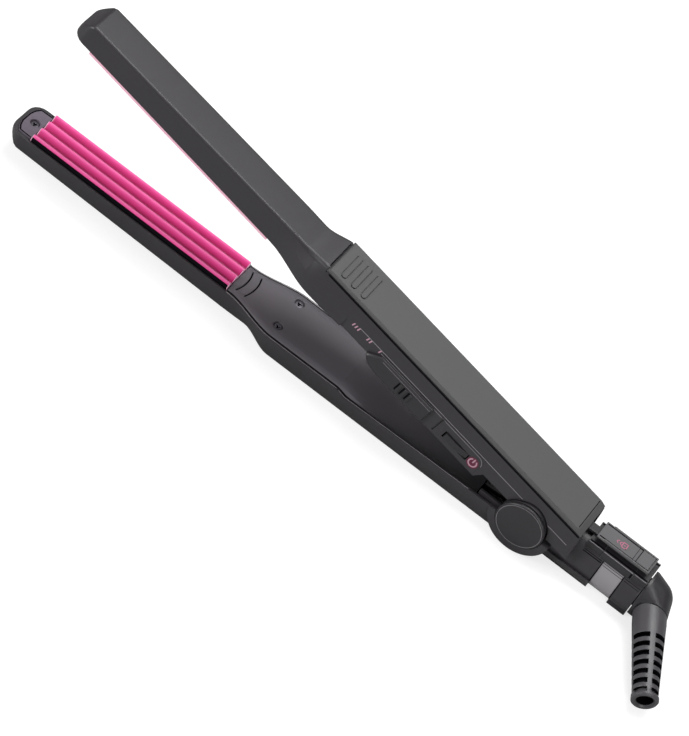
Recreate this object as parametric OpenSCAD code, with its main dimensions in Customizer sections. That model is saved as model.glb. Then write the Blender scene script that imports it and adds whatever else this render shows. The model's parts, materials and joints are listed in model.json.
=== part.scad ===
// Hair crimper: two spring-opened arms with corrugated plates, a sliding heat control,
// a rocker power switch, a sliding arm lock and a swivelling cord exit.
// X runs from the hinge to the tips, Y towards the controls, Z up.
// The origin lies on the resting face, straight below the hinge axis.

/* [Arms] */
// Angle between the arms when the spring holds them open
open_angle = 13.4; // [8:0.1:16]
// Height of the hinge axis below the plane where the plates meet
hinge_drop = 1.1; // [0.8:0.1:1.4]
// Distance from the hinge axis to the tips
tip_reach = 229; // [227:0.5:234]
// Depth of the lower handle below the plane where the plates meet
handle_depth = 13.8; // [13.4:0.1:14.6]
// Height of the grip cover above the plane where the plates meet
cover_height = 13.7; // [13.4:0.1:14]
// Half width of the handle at its widest
handle_half = 13.7; // [13.2:0.1:14.2]
// Wall of the outer shells
wall = 1.6; // [1.4:0.1:1.8]

/* [Barrel and plates] */
// Half width of the barrels at their rims
barrel_half = 9; // [8.9:0.1:9.3]
// Half width of the outer face of the barrels
barrel_face_half = 7.5; // [7.2:0.1:7.8]
// Depth of the barrels at the plate roots
barrel_depth = 11.2; // [10.8:0.1:11.6]
// Width of the crimping plates
plate_width = 15.8; // [15:0.1:15.9]
// Distance from the hinge axis to the rear end of the plates
plate_root = 132; // [131.8:0.1:134]
// Distance from the hinge axis to the front end of the plates
plate_end = 220; // [216:0.5:221]
// Distance between two ridges of the plates
wave_pitch = 4.8; // [4.4:0.1:5.2]
// Height of the ridges above and below their mean level
wave_height = 1; // [0.6:0.05:1.2]
// Gap left between the closed plates
plate_gap = 0.5; // [0.4:0.05:0.8]

/* [Controls] */
// Travel of the heat slider over its three marks
slider_travel = 12; // [6:0.5:12]
// Angle between the two positions of the power rocker
rocker_swing = 12; // [8:1:14]

/* [Hinge] */
// Radius of the hinge pin
pin_radius = 3; // [2.5:0.1:3.4]
// Radius of the disc that caps the hinge
cap_radius = 9.6; // [9.2:0.1:9.8]
// Wire radius of the opening spring
spring_wire = 0.5; // [0.4:0.05:0.6]

/* [Collar and cord exit] */
// Radius of the collar
collar_radius = 9.1; // [8.9:0.1:9.2]
// Height of the collar axis above the resting face
collar_height = 9.5; // [9.4:0.05:9.6]
// Angle between the collar axis and the strain relief
elbow_angle = 63; // [50:1:70]
// Turn of the strain relief about the collar axis
elbow_turn = -4; // [-5:1:30]
// Length of the strain relief from the elbow centre
relief_length = 43; // [38:1:46]
// Radius of the cord passage
cord_radius = 3; // [2.5:0.1:3.2]

/* [Hidden] */

charcoal = [0.27, 0.26, 0.28];
cover_grey = [0.33, 0.33, 0.33];
disc_grey = [0.23, 0.22, 0.24];
plate_pink = [0.85, 0.31, 0.56];
tip_grey = [0.45, 0.43, 0.47];
ceramic_white = [0.92, 0.91, 0.88];
steel_grey = [0.7, 0.7, 0.72];
brass_yellow = [0.8, 0.65, 0.3];
board_green = [0.1, 0.35, 0.2];

slit = 0.15;
over = 1;
flare_tip = 131;
flare_root = 109;
rise_tip = 121;
rise_root = 108;
nose_radius = 5;
insert_level = 0.9;
nose_bevel = 4;
nose_bevel_slope = 1.3;
tip_depth_loss = 1.5;
corner_steps = 4;
side_crown = 0.15;
cover_front = 110;
cover_rear = -16.5;
upper_face_half = 9.45;
cover_seat = 12.2;
cover_gap = 0.4;
cover_rise = 0.28;
lip_level = 11.4;
lip_inset = 2.2;
lower_face_half = 10.5;
crease_half = 11.6;
crease_level = 7.1;
skirt_front = 77;
skirt_rear = 22.8;
skirt_level = -1.6;
skirt_half = 12.8;
dish_front = 80.5;
cover_thickness = 1.5;
lug_radius = 9.3;
far_lug_radius = 7.2;
far_cap_radius = 6.5;
cover_screw_x = 109.6;
cover_screw_y = 7.5;
post_level = 2.25;
screw_radius = 0.9;
lug_inner = 9.6;
lug_outer = 12;
cheek_outer = 13.5;
ear_inner = 5.6;
ear_outer = 9.2;
ear_radius = 7;
running_gap = 0.05;
collar_front = -12;
ring_joint_front = -30.5;
ring_joint_rear = -39.5;
collar_rear = -47;
collar_bore = 6.2;
elbow_centre = -51;
keel_half = 5.6;
relief_radius = 6.05;
panel_front = 76;
panel_rear = 24.4;
panel_wall = 1.2;
face_tilt = atan((skirt_half - crease_half) / (crease_level - skirt_level));
rocker_centre = 35.6;
rocker_height = 3.6;
trunnion_radius = 0.45;

function lerp(a, b, t) = a + (b - a) * t;
function clamp(t) = min(max(t, 0), 1);
function ease(t) = clamp(t) * clamp(t) * (3 - 2 * clamp(t));
function flare(x) = ease((flare_tip - x) / (flare_tip - flare_root));
function rise(x) = ease((rise_tip - x) / (rise_tip - rise_root));

// How far the rounded nose draws in the sides at distance x
function nose_inset(x) =
    let (into = max(0, x - (tip_reach - nose_radius)))
    nose_radius - sqrt(max(0, nose_radius * nose_radius - into * into));

// How far the bevel at the nose draws in the outer face at distance x
function nose_rise(x) = max(0, x - (tip_reach - nose_bevel)) * nose_bevel_slope;

// Levels are distances from the plane where the plates meet, outward positive
function barrel_level(x) =
    barrel_depth - tip_depth_loss * clamp((x - plate_root) / (tip_reach - plate_root)) - nose_rise(x);
function lower_depth(x) = lerp(barrel_level(x), handle_depth, rise(x));
function upper_depth(x) = lerp(barrel_level(x), cover_height, rise(x));
function lower_face(x) = lerp(barrel_face_half - nose_inset(x) * 0.6, lower_face_half, rise(x));
function upper_face(x) =
    lerp(barrel_face_half - nose_inset(x) * 0.6, upper_face_half, rise(x));
function lower_rim(x) =
    lookup(x, [[10, 2.2], [38, 2.6], [75.5, 3.3], [79.5, 2], [flare_root, 2], [flare_tip, 1.5]]);
function upper_rim(x) =
    lookup(x, [[skirt_rear - 1, 2], [skirt_rear + 1, skirt_level], [skirt_front - 2, skirt_level],
        [skirt_front + 1, 2], [flare_root, 2], [flare_tip, 1.5]]);
function lower_half(x) =
    lerp(barrel_half - nose_inset(x),
        lookup(x, [[10, handle_half - 0.4], [flare_root, handle_half]]), flare(x));
function upper_half(x) =
    lerp(barrel_half - nose_inset(x),
        lookup(x, [[cover_rear, 11.8], [skirt_rear - 1, 12.3], [skirt_rear + 1, skirt_half],
            [skirt_front - 2, skirt_half], [skirt_front + 1, 12.3], [104, handle_half]]), flare(x));
function rim_wall(x) = lerp(0.9, 1.1, flare(x));
function corner_radius(x) = lerp(1.2, 1.8, flare(x));

// One side of a cross-section, from the rim over the crease and round the outer corner
function half_outline(rim, crease, face, depth, radius, steps = corner_steps) = concat([rim, crease],
    [for (step = [0:steps]) let (turn = 90 * step / steps)
        [face - radius + radius * cos(turn), depth - radius + radius * sin(turn)]]);
function both_sides(half) =
    concat(half, [for (i = [len(half) - 1:-1:0]) [-half[i][0], half[i][1]]]);
function lower_outline(x) =
    let (rim = [lower_half(x), lower_rim(x)], radius = corner_radius(x),
        foot = [lower_face(x), lower_depth(x) - radius])
    both_sides(half_outline(rim, (rim + foot) / 2 + [side_crown, 0], lower_face(x),
        lower_depth(x), radius));
function lower_hollow(x) =
    let (rim = [lower_half(x) - rim_wall(x), lower_rim(x)], radius = corner_radius(x) * 0.5,
        foot = [lower_face(x) - wall, lower_depth(x) - wall - radius])
    both_sides(concat([rim - [0, 4]], half_outline(rim + [-0.05, 0.3], lerp(rim, foot, 0.5), foot[0],
        lower_depth(x) - wall, radius, 1)));
function upper_crease(x) =
    let (rim = [upper_half(x), upper_rim(x)], foot = [upper_face(x), upper_depth(x) - corner_radius(x)],
        along = (crease_level - rim[1]) / max(1, foot[1] - rim[1]),
        straight = lerp(rim, foot, min(0.9, along)) + [side_crown, 0])
    lerp(straight, [crease_half, crease_level], flare(x));
function upper_outline(x) =
    both_sides(half_outline([upper_half(x), upper_rim(x)], upper_crease(x), upper_face(x),
        upper_depth(x), corner_radius(x)));
function upper_hollow(x) =
    let (rim = [upper_half(x) - rim_wall(x), upper_rim(x)])
    both_sides(concat([rim - [0, 4]], half_outline(rim + [-0.05, 0.3], upper_crease(x) - [wall, 0.4],
        upper_face(x) - wall, upper_depth(x) - wall, corner_radius(x) * 0.5, 1)));

function ring_at(x, outline) = [for (p = outline) [x, p[0], p[1]]];

flare_stations = [rise_root, 109.5, 111.5, 113.5, 115.5, 117.5, 119.5, rise_tip, 124, 127.5, flare_tip];
nose_stations = [for (turn = [0:18:90]) tip_reach - nose_radius + nose_radius * sin(turn)];

// Positions of a part of the closed arms in the finished, opened tool
module in_lower() {
    translate([0, 0, handle_depth])
        children();
}

module in_upper() {
    translate([0, 0, handle_depth - hinge_drop])
        rotate([0, -open_angle, 0])
            translate([0, 0, hinge_drop])
                children();
}

module about_hinge() {
    translate([0, 0, -hinge_drop])
        rotate([-90, 0, 0])
            children();
}

module below() {
    mirror([0, 0, 1])
        children();
}

module both_ways() {
    children();
    mirror([0, 1, 0])
        children();
}

// Axis of the collar, running rearwards from the hinge
module along_collar() {
    translate([0, 0, collar_height])
        rotate([0, -90, 0])
            children();
}

// Flat of the near side of the upper handle: X along the arm, Y outwards, Z up the side
module on_side_flat() {
    translate([0, skirt_half, skirt_level])
        rotate([face_tilt, 0, 0])
            children();
}

// Frame of the strain relief: its axis runs along +Z from the elbow centre
module along_relief() {
    translate([elbow_centre, 0, collar_height])
        rotate([elbow_turn, 0, 0])
            rotate([0, 0, -elbow_angle])
                rotate([0, -90, 0])
                    children();
}

// Solid through a row of rings with the same number of points
module loft(rings) {
    count = len(rings[0]);
    last = len(rings) - 1;
    sides = [for (i = [0:last - 1], j = [0:count - 1])
        let (a = i * count + j, b = i * count + (j + 1) % count)
            each [[b, a, b + count], [b + count, a, a + count]]];
    rear_cap = [for (j = [0:count - 1]) j];
    front_cap = [for (j = [count - 1:-1:0]) last * count + j];
    polyhedron([for (ring = rings) each ring], concat(sides, [rear_cap, front_cap]));
}

// Ring of six points round the path at point i, square to the path
function tube_ring(path, i, radius) =
    let (ahead = path[min(i + 1, len(path) - 1)], behind = path[max(i - 1, 0)],
        run = (ahead - behind) / norm(ahead - behind),
        side = cross(run, [0, 0.01, 1]), across = side / norm(side), up = cross(run, across))
    [for (k = [0:5]) path[i] + radius * (across * cos(60 * k) + up * sin(60 * k))];

module tube(path, radius) {
    loft([for (i = [0:len(path) - 1]) tube_ring(path, i, radius)]);
}

module lower_body_solid() {
    stations = concat([-1.5, 10, 38, 75.5, 79.5], flare_stations, [180], nose_stations);
    loft([for (x = stations) ring_at(x, lower_outline(x))]);
}

module lower_body_hollow() {
    stations = concat([-3, 10, 38, 75.5, 79.5], flare_stations, [180, tip_reach - 8]);
    loft([for (x = stations) ring_at(x, lower_hollow(x))]);
}

module upper_body_solid() {
    stations = concat([-20, 0, skirt_rear - 1, skirt_rear + 1, 50, skirt_front - 2,
        skirt_front + 1, 94, 104], flare_stations, [180], nose_stations);
    loft([for (x = stations) ring_at(x, upper_outline(x))]);
}

module upper_body_hollow() {
    stations = concat([-21, 0, skirt_rear - 1, skirt_rear + 1, 50, skirt_front - 2,
        skirt_front + 1, 94, 104], flare_stations, [180, tip_reach - 8]);
    loft([for (x = stations) ring_at(x, upper_hollow(x))]);
}

// Plan of the insert that closes the barrel between plate and nose
module tip_plan(gap) {
    front = tip_reach - 1.4;
    polygon([[plate_end + 0.3 - gap, 7.4 + gap], [front - 1.9, 7.2 + gap], [front - 0.7, 5.2 + gap],
        [front + gap, 2.6], [front + gap, -2.6], [front - 0.7, -5.2 - gap],
        [front - 1.9, -7.2 - gap], [plate_end + 0.3 - gap, -7.4 - gap]]);
}

module tip_insert() {
    difference() {
        translate([0, 0, insert_level])
            linear_extrude(2.8 - insert_level)
                tip_plan(0);
        translate([tip_screw_x(), 0, 0])
            screw_seat(2.4);
    }
}

// Posts behind the inner cover that take its two screws
module screw_posts(reach) {
    for (side = [-1, 1])
        translate([cover_screw_x, side * cover_screw_y, post_level])
            cylinder(h = reach - post_level, r = 1.7, $fn = 32);
}

// Pilot holes for the cover screws and for the screw at the tip
module screw_pilots() {
    for (side = [-1, 1])
        translate([cover_screw_x, side * cover_screw_y, 0])
            cylinder(h = 7, r = screw_radius, $fn = 24);
    translate([tip_screw_x(), 0, 0])
        cylinder(h = 7, r = screw_radius, $fn = 24);
}

// Hole for a screw: a seat for the head down to the given level, and a hole for the shank
module screw_seat(level) {
    translate([0, 0, -2])
        cylinder(h = level + 2, r = 1.95, $fn = 32);
    cylinder(h = level + 4, r = 0.95, $fn = 24);
}

function tip_screw_x() = plate_end + 3.4;

// Height of the plate surface that faces up, across the plate
function wave(y) = -wave_height * cos(360 * y / wave_pitch);
function wave_line() =
    let (half = plate_width / 2, steps = 27)
    [for (i = [0:steps]) let (y = lerp(-half, half, i / steps)) [y, wave(y)]];

module plate_bar(profile) {
    translate([plate_root, 0, 0])
        rotate([90, 0, 90])
            linear_extrude(plate_end - plate_root)
                polygon(profile);
}

module heater_bar() {
    translate([plate_root + 6, -5, 2.6])
        cube([plate_end - plate_root - 12, 10, 1.6]);
}

// Tray that presses the heater against the plate; its cross ribs stand on the shell
module carrier_bar() {
    length = plate_end - plate_root - 4;
    translate([plate_root + 2, -5.6, 4.2])
        cube([length, 11.2, 0.9]);
    for (side = [-1, 1])
        translate([plate_root + 2, side * 5.35 - 0.25, 2.8])
            cube([length, 0.5, 1.4]);
    for (step = [0:5]) {
        front = plate_root + 7.2 + step * (length - 9) / 5;
        translate([front - 1.2, -4.4, 5.1])
            cube([1.2, 8.8, barrel_level(front) - wall - 5.12]);
    }
}

module screw(length) {
    cylinder(h = 0.7, r = 1.8, $fn = 32);
    translate([0, 0, -length])
        cylinder(h = length, r = screw_radius, $fn = 24);
}

// ---------------------------------------------------------------- lower arm

// Round cheek at the side of the lower handle, with the lug that carries the pin
module hinge_cheek(radius) {
    rotate([-90, 0, 0])
        translate([0, 0, lug_inner])
            linear_extrude(cheek_outer - lug_inner)
                difference() {
                    circle(r = handle_depth - hinge_drop, $fn = 96);
                    translate([-20, -40 + hinge_drop + 0.05])
                        square([40, 40]);
                }
    rotate([-90, 0, 0])
        translate([0, 0, lug_inner])
            cylinder(h = lug_outer - lug_inner, r = radius, $fn = 72);
    translate([0, lug_inner + 0.8, -5])
        cube([18.5, 1, 5.4]);
}

// Rounded rear end of the lower handle, from cheek to cheek
module rear_drum() {
    outer = handle_depth - hinge_drop;
    rotate([-90, 0, 0])
        translate([0, 0, -lug_inner])
            linear_extrude(2 * lug_inner)
                difference() {
                    circle(r = outer, $fn = 96);
                    circle(r = outer - wall, $fn = 96);
                    translate([0, -40])
                        square([40, 80]);
                    translate([-20, -40 + hinge_drop])
                        square([40, 40]);
                }
}

// Half-round band under the neck, flat where it meets the resting face
module rear_band() {
    intersection() {
        along_collar()
            translate([0, 0, 8])
                cylinder(h = -ring_joint_front - 8, r = collar_radius + 1, $fn = 96);
        translate([-60, -30, 0])
            cube([60, 60, collar_height - 2.2]);
    }
    translate([ring_joint_front, -keel_half, 0])
        cube([-ring_joint_front - 8, 2 * keel_half, 3]);
}

module lower_shell() {
    color(charcoal)
        difference() {
            union() {
                difference() {
                    in_lower()
                        below()
                            lower_body_solid();
                    in_lower()
                        below()
                            lower_body_hollow();
                }
                translate([0, 0, handle_depth - hinge_drop]) {
                    hinge_cheek(lug_radius);
                    mirror([0, 1, 0])
                        hinge_cheek(far_lug_radius);
                    rear_drum();
                }
                rear_band();
                in_lower()
                    below()
                        screw_posts(10.8);
            }
            along_collar()
                cylinder(h = 20, r = collar_bore, $fn = 64);
            in_lower()
                below()
                    screw_pilots();
            along_collar()
                translate([0, 0, -collar_front])
                    cylinder(h = 40, r = collar_radius, $fn = 96);
            in_lower()
                about_hinge()
                    translate([0, 0, -20])
                        cylinder(h = 40, r = pin_radius, $fn = 64);
            in_lower() {
                about_hinge()
                    translate([0, 0, lug_outer])
                        cylinder(h = 4, r = cap_radius + slit, $fn = 96);
                mirror([0, 1, 0])
                    about_hinge()
                        translate([0, 0, lug_outer])
                            cylinder(h = 4, r = far_cap_radius + slit, $fn = 96);
            }
            in_lower()
                below()
                    translate([0, 0, 1])
                        linear_extrude(1.8)
                            tip_plan(slit);
        }
}

// Level of the inner cover: [half width, edge level, middle level]
function lower_cover_row(x) =
    let (sunk = ease((dish_front - x) / 26), deep = lookup(x, [[19, 7.2], [45, 6.5], [60, 5.6]]))
    [lower_half(x) - rim_wall(x) - slit, lerp(lower_rim(x) - 0.1, lower_rim(x) + 0.1, sunk),
        lerp(0.6, deep, sunk), lerp(12, 4, sunk)];

function cover_line(row, drop) =
    [for (i = [-8:8]) let (across = sin(90 * i / 8))
        [(row[0] - 0.6 * drop) * across, lerp(row[2], row[1], pow(abs(across), row[3])) + drop]];
function cover_ring(x, row, thickness) =
    let (face = cover_line(row, 0), back = cover_line(row, thickness))
    ring_at(x, concat(face, [for (i = [len(back) - 1:-1:0]) back[i]]));

module lower_inner_cover() {
    stations = concat([19, 30, 45, 56, 62, 68, 72, 75.5, 79.5, 94, 104], flare_stations,
        [plate_root - 0.4]);
    color(charcoal)
        in_lower()
            below()
                difference() {
                    loft([for (x = stations) cover_ring(x, lower_cover_row(x), cover_thickness)]);
                    for (groove = [0, 1])
                        translate([plate_root + 13.2 - groove * 3.8, 0, 0])
                            rotate([0, 0, 159])
                                rotate_extrude(angle = 42, $fn = 96)
                                    translate([16.6, -1])
                                        square([0.6, 2.2]);
                    for (side = [-1, 1])
                        translate([cover_screw_x, side * cover_screw_y, 0])
                            screw_seat(1.75);
                }
}

module lower_tip_cap() {
    color(tip_grey)
        in_lower()
            below()
                tip_insert();
}

module lower_plate() {
    half = plate_width / 2;
    color(plate_pink)
        in_lower()
            plate_bar(concat(wave_line(), [[half, -1.3], [7.4, -1.4], [7.4, -2.6], [-7.4, -2.6],
                [-7.4, -1.4], [-half, -1.3]]));
}

module lower_heater() {
    color(ceramic_white)
        in_lower()
            below()
                heater_bar();
}

module lower_heater_carrier() {
    color(disc_grey)
        in_lower()
            below()
                carrier_bar();
}

module lower_screws() {
    color(steel_grey)
        in_lower() {
            translate([tip_screw_x(), 0, -2.4])
                screw(4);
            for (side = [-1, 1])
                translate([cover_screw_x, side * cover_screw_y, -1.75])
                    screw(5);
        }
}

// Two insulated leads side by side along a route given as [distance, level]
module lead_pair(route) {
    for (side = [-1, 1])
        tube([for (p = route) [p[0], side * 1.4, p[1]]], 0.7);
}

module lower_lead_wires() {
    color("white")
        in_lower()
            lead_pair([[-23.7, -4.3], [-12, -8], [10, -10.5], [20, -11.4], [78, -11.4], [98, -5.6],
                [plate_root + 2, -4.9]]);
}

// ---------------------------------------------------------------- hinge

module hinge_pin() {
    color(steel_grey)
        in_lower()
            about_hinge()
                translate([0, 0, -lug_outer])
                    cylinder(h = 2 * lug_outer, r = pin_radius, $fn = 64);
}

// Domed disc over a narrower neck, seated on the end of the pin
module hinge_disc(radius) {
    translate([0, 0, lug_outer])
        rotate_extrude($fn = 96)
            polygon([[0, 0], [radius - 0.9, 0], [radius - 0.9, 1.2], [radius, 1.2], [radius, 1.7],
                [radius - 0.35, 2.05], [radius / 2, 2.28], [0, 2.35]]);
}

module near_hinge_cap() {
    color(disc_grey)
        in_lower()
            about_hinge()
                hinge_disc(cap_radius);
}

module far_hinge_cap() {
    color(disc_grey)
        in_lower()
            mirror([0, 1, 0])
                about_hinge()
                    hinge_disc(far_cap_radius);
}

spring_radius = 4.3;
spring_turns = 4;
spring_pitch = 2;
spring_leg = 8;

// Centre line of the spring: a straight leg, the coil, and a second straight leg
function spring_path() =
    let (top = spring_turns * 12, rise = spring_pitch / 12)
    concat([[spring_radius, -spring_leg, 0]],
        [for (i = [0:top]) [spring_radius * cos(30 * i), spring_radius * sin(30 * i), i * rise]],
        [[spring_radius, spring_leg, top * rise]]);

module hinge_spring() {
    path = spring_path();
    color(steel_grey)
        in_lower()
            about_hinge()
                translate([0, 0, -spring_pitch * spring_turns / 2])
                    rotate([0, 0, 20])
                        tube(path, spring_wire);
}

// ---------------------------------------------------------------- collar

// Ring about the collar axis with fine bevels where it meets its neighbours
module collar_part(front, rear, outer, bore) {
    bevel = 0.25;
    along_collar()
        translate([0, 0, -front])
            rotate_extrude($fn = 96)
                polygon([[bore, 0], [outer - bevel, 0], [outer, bevel],
                    [outer, front - rear - bevel], [outer - bevel, front - rear],
                    [bore, front - rear]]);
}

module neck_tube() {
    color(charcoal)
        difference() {
            collar_part(collar_front, ring_joint_front, collar_radius, collar_bore);
            translate([-18, -4.5, 17])
                cube([10, 9, 4]);
        }
}

module lock_ring() {
    color(tip_grey)
        collar_part(ring_joint_front, ring_joint_rear, collar_radius - 0.15, collar_bore);
}

module end_ring() {
    color(charcoal) {
        collar_part(ring_joint_rear, collar_rear, collar_radius, collar_bore);
        difference() {
            translate([collar_rear, -keel_half, 0])
                cube([ring_joint_rear - collar_rear, 2 * keel_half, 3]);
            along_collar()
                cylinder(h = 60, r = collar_radius - 0.1, $fn = 96);
        }
    }
}

rail_top = 20;
rail_half = 6.1;
slot_half = 2;
slot_floor = 18.85;
lock_front = -23.4;
lock_rear = -45.3;
slab_floor = 22;
bolt_level = 19.9;
bolt_tip = -16.2;
slab_half = 4.3;

// Saddle on the collar, in three steps, with the slot that guides the lock slider
module lock_rail() {
    color(charcoal)
        difference() {
            union() {
                translate([-28.5, -rail_half + 0.4, 10])
                    cube([6.5, 2 * rail_half - 0.8, rail_top - 10.2]);
                translate([-41.5, -rail_half, 10])
                    cube([13, 2 * rail_half, rail_top - 10]);
                translate([collar_rear, -rail_half + 0.25, 10])
                    cube([5.5, 2 * rail_half - 0.5, rail_top - 10.1]);
            }
            along_collar()
                cylinder(h = 60, r = collar_radius, $fn = 96);
            translate([-43, -slot_half, slot_floor])
                cube([30, 2 * slot_half, 4]);
        }
}

module contact_block() {
    color(disc_grey)
        along_collar()
            translate([0, 0, 24])
                cylinder(h = 5, r = collar_bore, $fn = 64);
}

module contact_springs() {
    color(brass_yellow)
        along_collar() {
            translate([0, 0, 29])
                cylinder(h = 4, r = 0.9, $fn = 24);
            for (side = [-1, 1])
                translate([0, side * 3.6, 29])
                    cylinder(h = 4, r = 0.6, $fn = 24);
        }
}

// ---------------------------------------------------------------- upper arm

module cover_plan(inset, rear) {
    half = upper_face_half - inset;
    polygon([[cover_front - inset, half], [rear, half], [rear, -half], [cover_front - inset, -half]]);
}

// Bar with round ends across the cover, for the finger ribs and the grooves round them
module finger_bar(radius, far) {
    for (side = [-far, 5.4])
        translate([0, side])
            circle(r = radius, $fn = 32);
    translate([-radius, -far])
        square([2 * radius, far + 5.4]);
}

module grip_cover() {
    color(cover_grey)
        in_upper() {
            difference() {
                hull() {
                    translate([0, 0, cover_seat + cover_gap])
                        linear_extrude(0.4)
                            cover_plan(0, cover_rear);
                    translate([cover_front, 0, cover_height])
                        rotate([0, cover_rise, 0])
                            translate([-cover_front, 0, -0.1])
                                linear_extrude(0.1)
                                    cover_plan(0.6, cover_rear + 2.5);
                }
                for (step = [0:2])
                    translate([104.8 - step * 4.8, 0.9, cover_height - 0.35])
                        linear_extrude(2)
                            difference() {
                                finger_bar(1.3, 5.4);
                                finger_bar(0.95, 9);
                            }
            }
            translate([0, 0, lip_level])
                linear_extrude(cover_seat + cover_gap + 0.1 - lip_level)
                    cover_plan(lip_inset, cover_rear + 0.5);
            for (step = [0:2])
                translate([104.8 - step * 4.8, 0.9, cover_height - 0.5])
                    linear_extrude(0.8)
                        finger_bar(0.95, 5.6);
        }
}

module hinge_ear() {
    rotate([-90, 0, 0])
        translate([0, 0, ear_inner])
            cylinder(h = ear_outer - ear_inner, r = ear_radius, $fn = 72);
    translate([-ear_radius, ear_inner, 0])
        cube([2 * ear_radius, ear_outer - ear_inner, 9]);
}

module upper_shell() {
    bridge_floor = 7.6;
    color(charcoal)
        in_upper()
            difference() {
                union() {
                    difference() {
                        upper_body_solid();
                        upper_body_hollow();
                    }
                    translate([0, 0, -hinge_drop])
                        both_ways()
                            hinge_ear();
                    translate([-9, -9.2, bridge_floor])
                        cube([20, 18.4, lip_level - bridge_floor]);
                    translate([95, -9.2, 7])
                        cube([1.2, 18.4, lip_level - 7]);
                    screw_posts(8.5);
                }
                translate([cover_front + cover_gap - 140, -20, cover_seat])
                    cube([140, 40, 5]);
                translate([0, 0, lip_level])
                    linear_extrude(5)
                        cover_plan(lip_inset - slit, cover_rear - 5);
                screw_pilots();
                translate([-ear_radius - 9, -ear_inner, -20])
                    cube([2 * ear_radius + 18, 2 * ear_inner, 20 + catch_level]);
                translate([-10, -catch_half - 0.05, 0])
                    cube([8, 2 * catch_half + 0.1, catch_level + catch_thickness]);
                about_hinge()
                    translate([0, 0, -20])
                        cylinder(h = 40, r = pin_radius + running_gap, $fn = 64);
                about_hinge()
                    translate([0, 0, ear_outer + 0.15])
                        cylinder(h = 8, r = cap_radius + 0.35, $fn = 96);
                mirror([0, 1, 0])
                    about_hinge()
                        translate([0, 0, ear_outer + 0.15])
                            cylinder(h = 8, r = far_lug_radius + 0.65, $fn = 96);
                translate([cover_rear, -20, cover_height])
                    rotate([0, 14, 0])
                        translate([-20, 0, -30])
                            cube([20, 40, 60]);
                on_side_flat() {
                    translate([panel_rear, -6, -2])
                        cube([panel_front - panel_rear, 8, 10.6]);
                    translate([40, 0, -4])
                        cube([53.4, 4, 12.3]);
                    slider_slot();
                }
                translate([0, 0, 1])
                    linear_extrude(1.8)
                        tip_plan(slit);
            }
}

catch_level = 7.3;
catch_thickness = 1;
catch_half = 3.5;

// Steel plate under the bridge; its free end is what the lock's bolt slides under
module lock_catch() {
    color(steel_grey)
        in_upper()
            translate([-14, -catch_half, catch_level])
                cube([12, 2 * catch_half, catch_thickness]);
}

function upper_cover_row(x) =
    let (sunk = ease((skirt_front - 1 - x) / 26), deep = lookup(x, [[22, -5.4], [45, -4.6], [60, -3.9]]))
    [upper_half(x) - rim_wall(x) - 0.5 - slit,
        lerp(upper_rim(x) < 0 ? 0.8 : upper_rim(x) - 0.1, -0.6, sunk), lerp(0.6, deep, sunk),
        lerp(12, 6, sunk)];

module upper_inner_cover() {
    stations = concat([skirt_rear + 1.2, 30, 45, 56, 62, 68, 72, 74.9, 78.1, 94, 104],
        flare_stations, [plate_root - 0.4]);
    color(charcoal)
        in_upper()
            difference() {
                union() {
                    loft([for (x = stations) cover_ring(x, upper_cover_row(x), cover_thickness)]);
                    for (boss = [[31, -4.5], [69, -0.5]])
                        translate([boss[0], 0, boss[1]])
                            cylinder(h = 2 - boss[1], r = 1.8, $fn = 32);
                }
                for (side = [-1, 1])
                    translate([cover_screw_x, side * cover_screw_y, 0])
                        screw_seat(1.75);
                translate([28.5, 9, -2])
                    cube([14, 4, 6]);
            }
}

module upper_tip_cap() {
    color(tip_grey)
        in_upper()
            tip_insert();
}

module upper_plate() {
    flange = plate_width / 2 + 0.3;
    flange_level = 0.15;
    color(plate_pink)
        in_upper()
            plate_bar(concat([for (p = wave_line()) p + [0, plate_gap]], [[flange, flange_level],
                [flange + 0.6, flange_level], [flange + 0.6, 1.35], [7.4, 1.45], [7.4, 2.6],
                [-7.4, 2.6], [-7.4, 1.45], [-flange - 0.6, 1.35], [-flange - 0.6, flange_level],
                [-flange, flange_level]]));
}

module upper_heater() {
    color(ceramic_white)
        in_upper()
            heater_bar();
}

module upper_heater_carrier() {
    color(disc_grey)
        in_upper()
            carrier_bar();
}

module upper_screws() {
    color(steel_grey)
        in_upper()
            below() {
                translate([tip_screw_x(), 0, -2.4])
                    screw(4);
                for (side = [-1, 1])
                    translate([cover_screw_x, side * cover_screw_y, -1.75])
                        screw(5);
            }
}

module upper_lead_wires() {
    color("white")
        in_upper()
            lead_pair([[72.3, 2.75], [82, 5.6], [110, 5.6], [plate_root + 2, 4.9]]);
}

module slider_slot() {
    translate([58.4, -3, 4.3])
        cube([slider_travel + 3.8, 6, 2.2]);
}

// Panel set into the near side, with the slider's slot and the rocker's pocket
module control_panel() {
    color(charcoal)
        in_upper()
            on_side_flat()
                difference() {
                    union() {
                        translate([panel_rear, -panel_wall, 0])
                            cube([panel_front - panel_rear, panel_wall, 8.4]);
                        translate([rocker_centre - 1.5, -panel_wall - 1, rocker_height - 2.6])
                            cube([3, 1, 5.2]);
                    }
                    slider_slot();
                    translate([rocker_centre - 5.9, -3, rocker_height - 1.5])
                        cube([11.8, 6, 3]);
                    translate([rocker_centre, -panel_wall, rocker_height - 3])
                        cylinder(h = 6, r = trunnion_radius + running_gap, $fn = 24);
                    translate([45, -0.5, 1])
                        cube([0.5, 1, 6.6]);
                }
}

module control_board() {
    color(board_green)
        in_upper()
            translate([26, -8, 2])
                cube([46, 16, 1.2]);
}

module slide_switch() {
    color(disc_grey)
        in_upper()
            translate([57, 2, 3.2])
                cube([15, 7.2, 3.4]);
}

module rocker_switch() {
    color(disc_grey)
        in_upper()
            translate([rocker_centre - 6, 2, 3.2])
                cube([12, 7.2, 4]);
}

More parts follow.
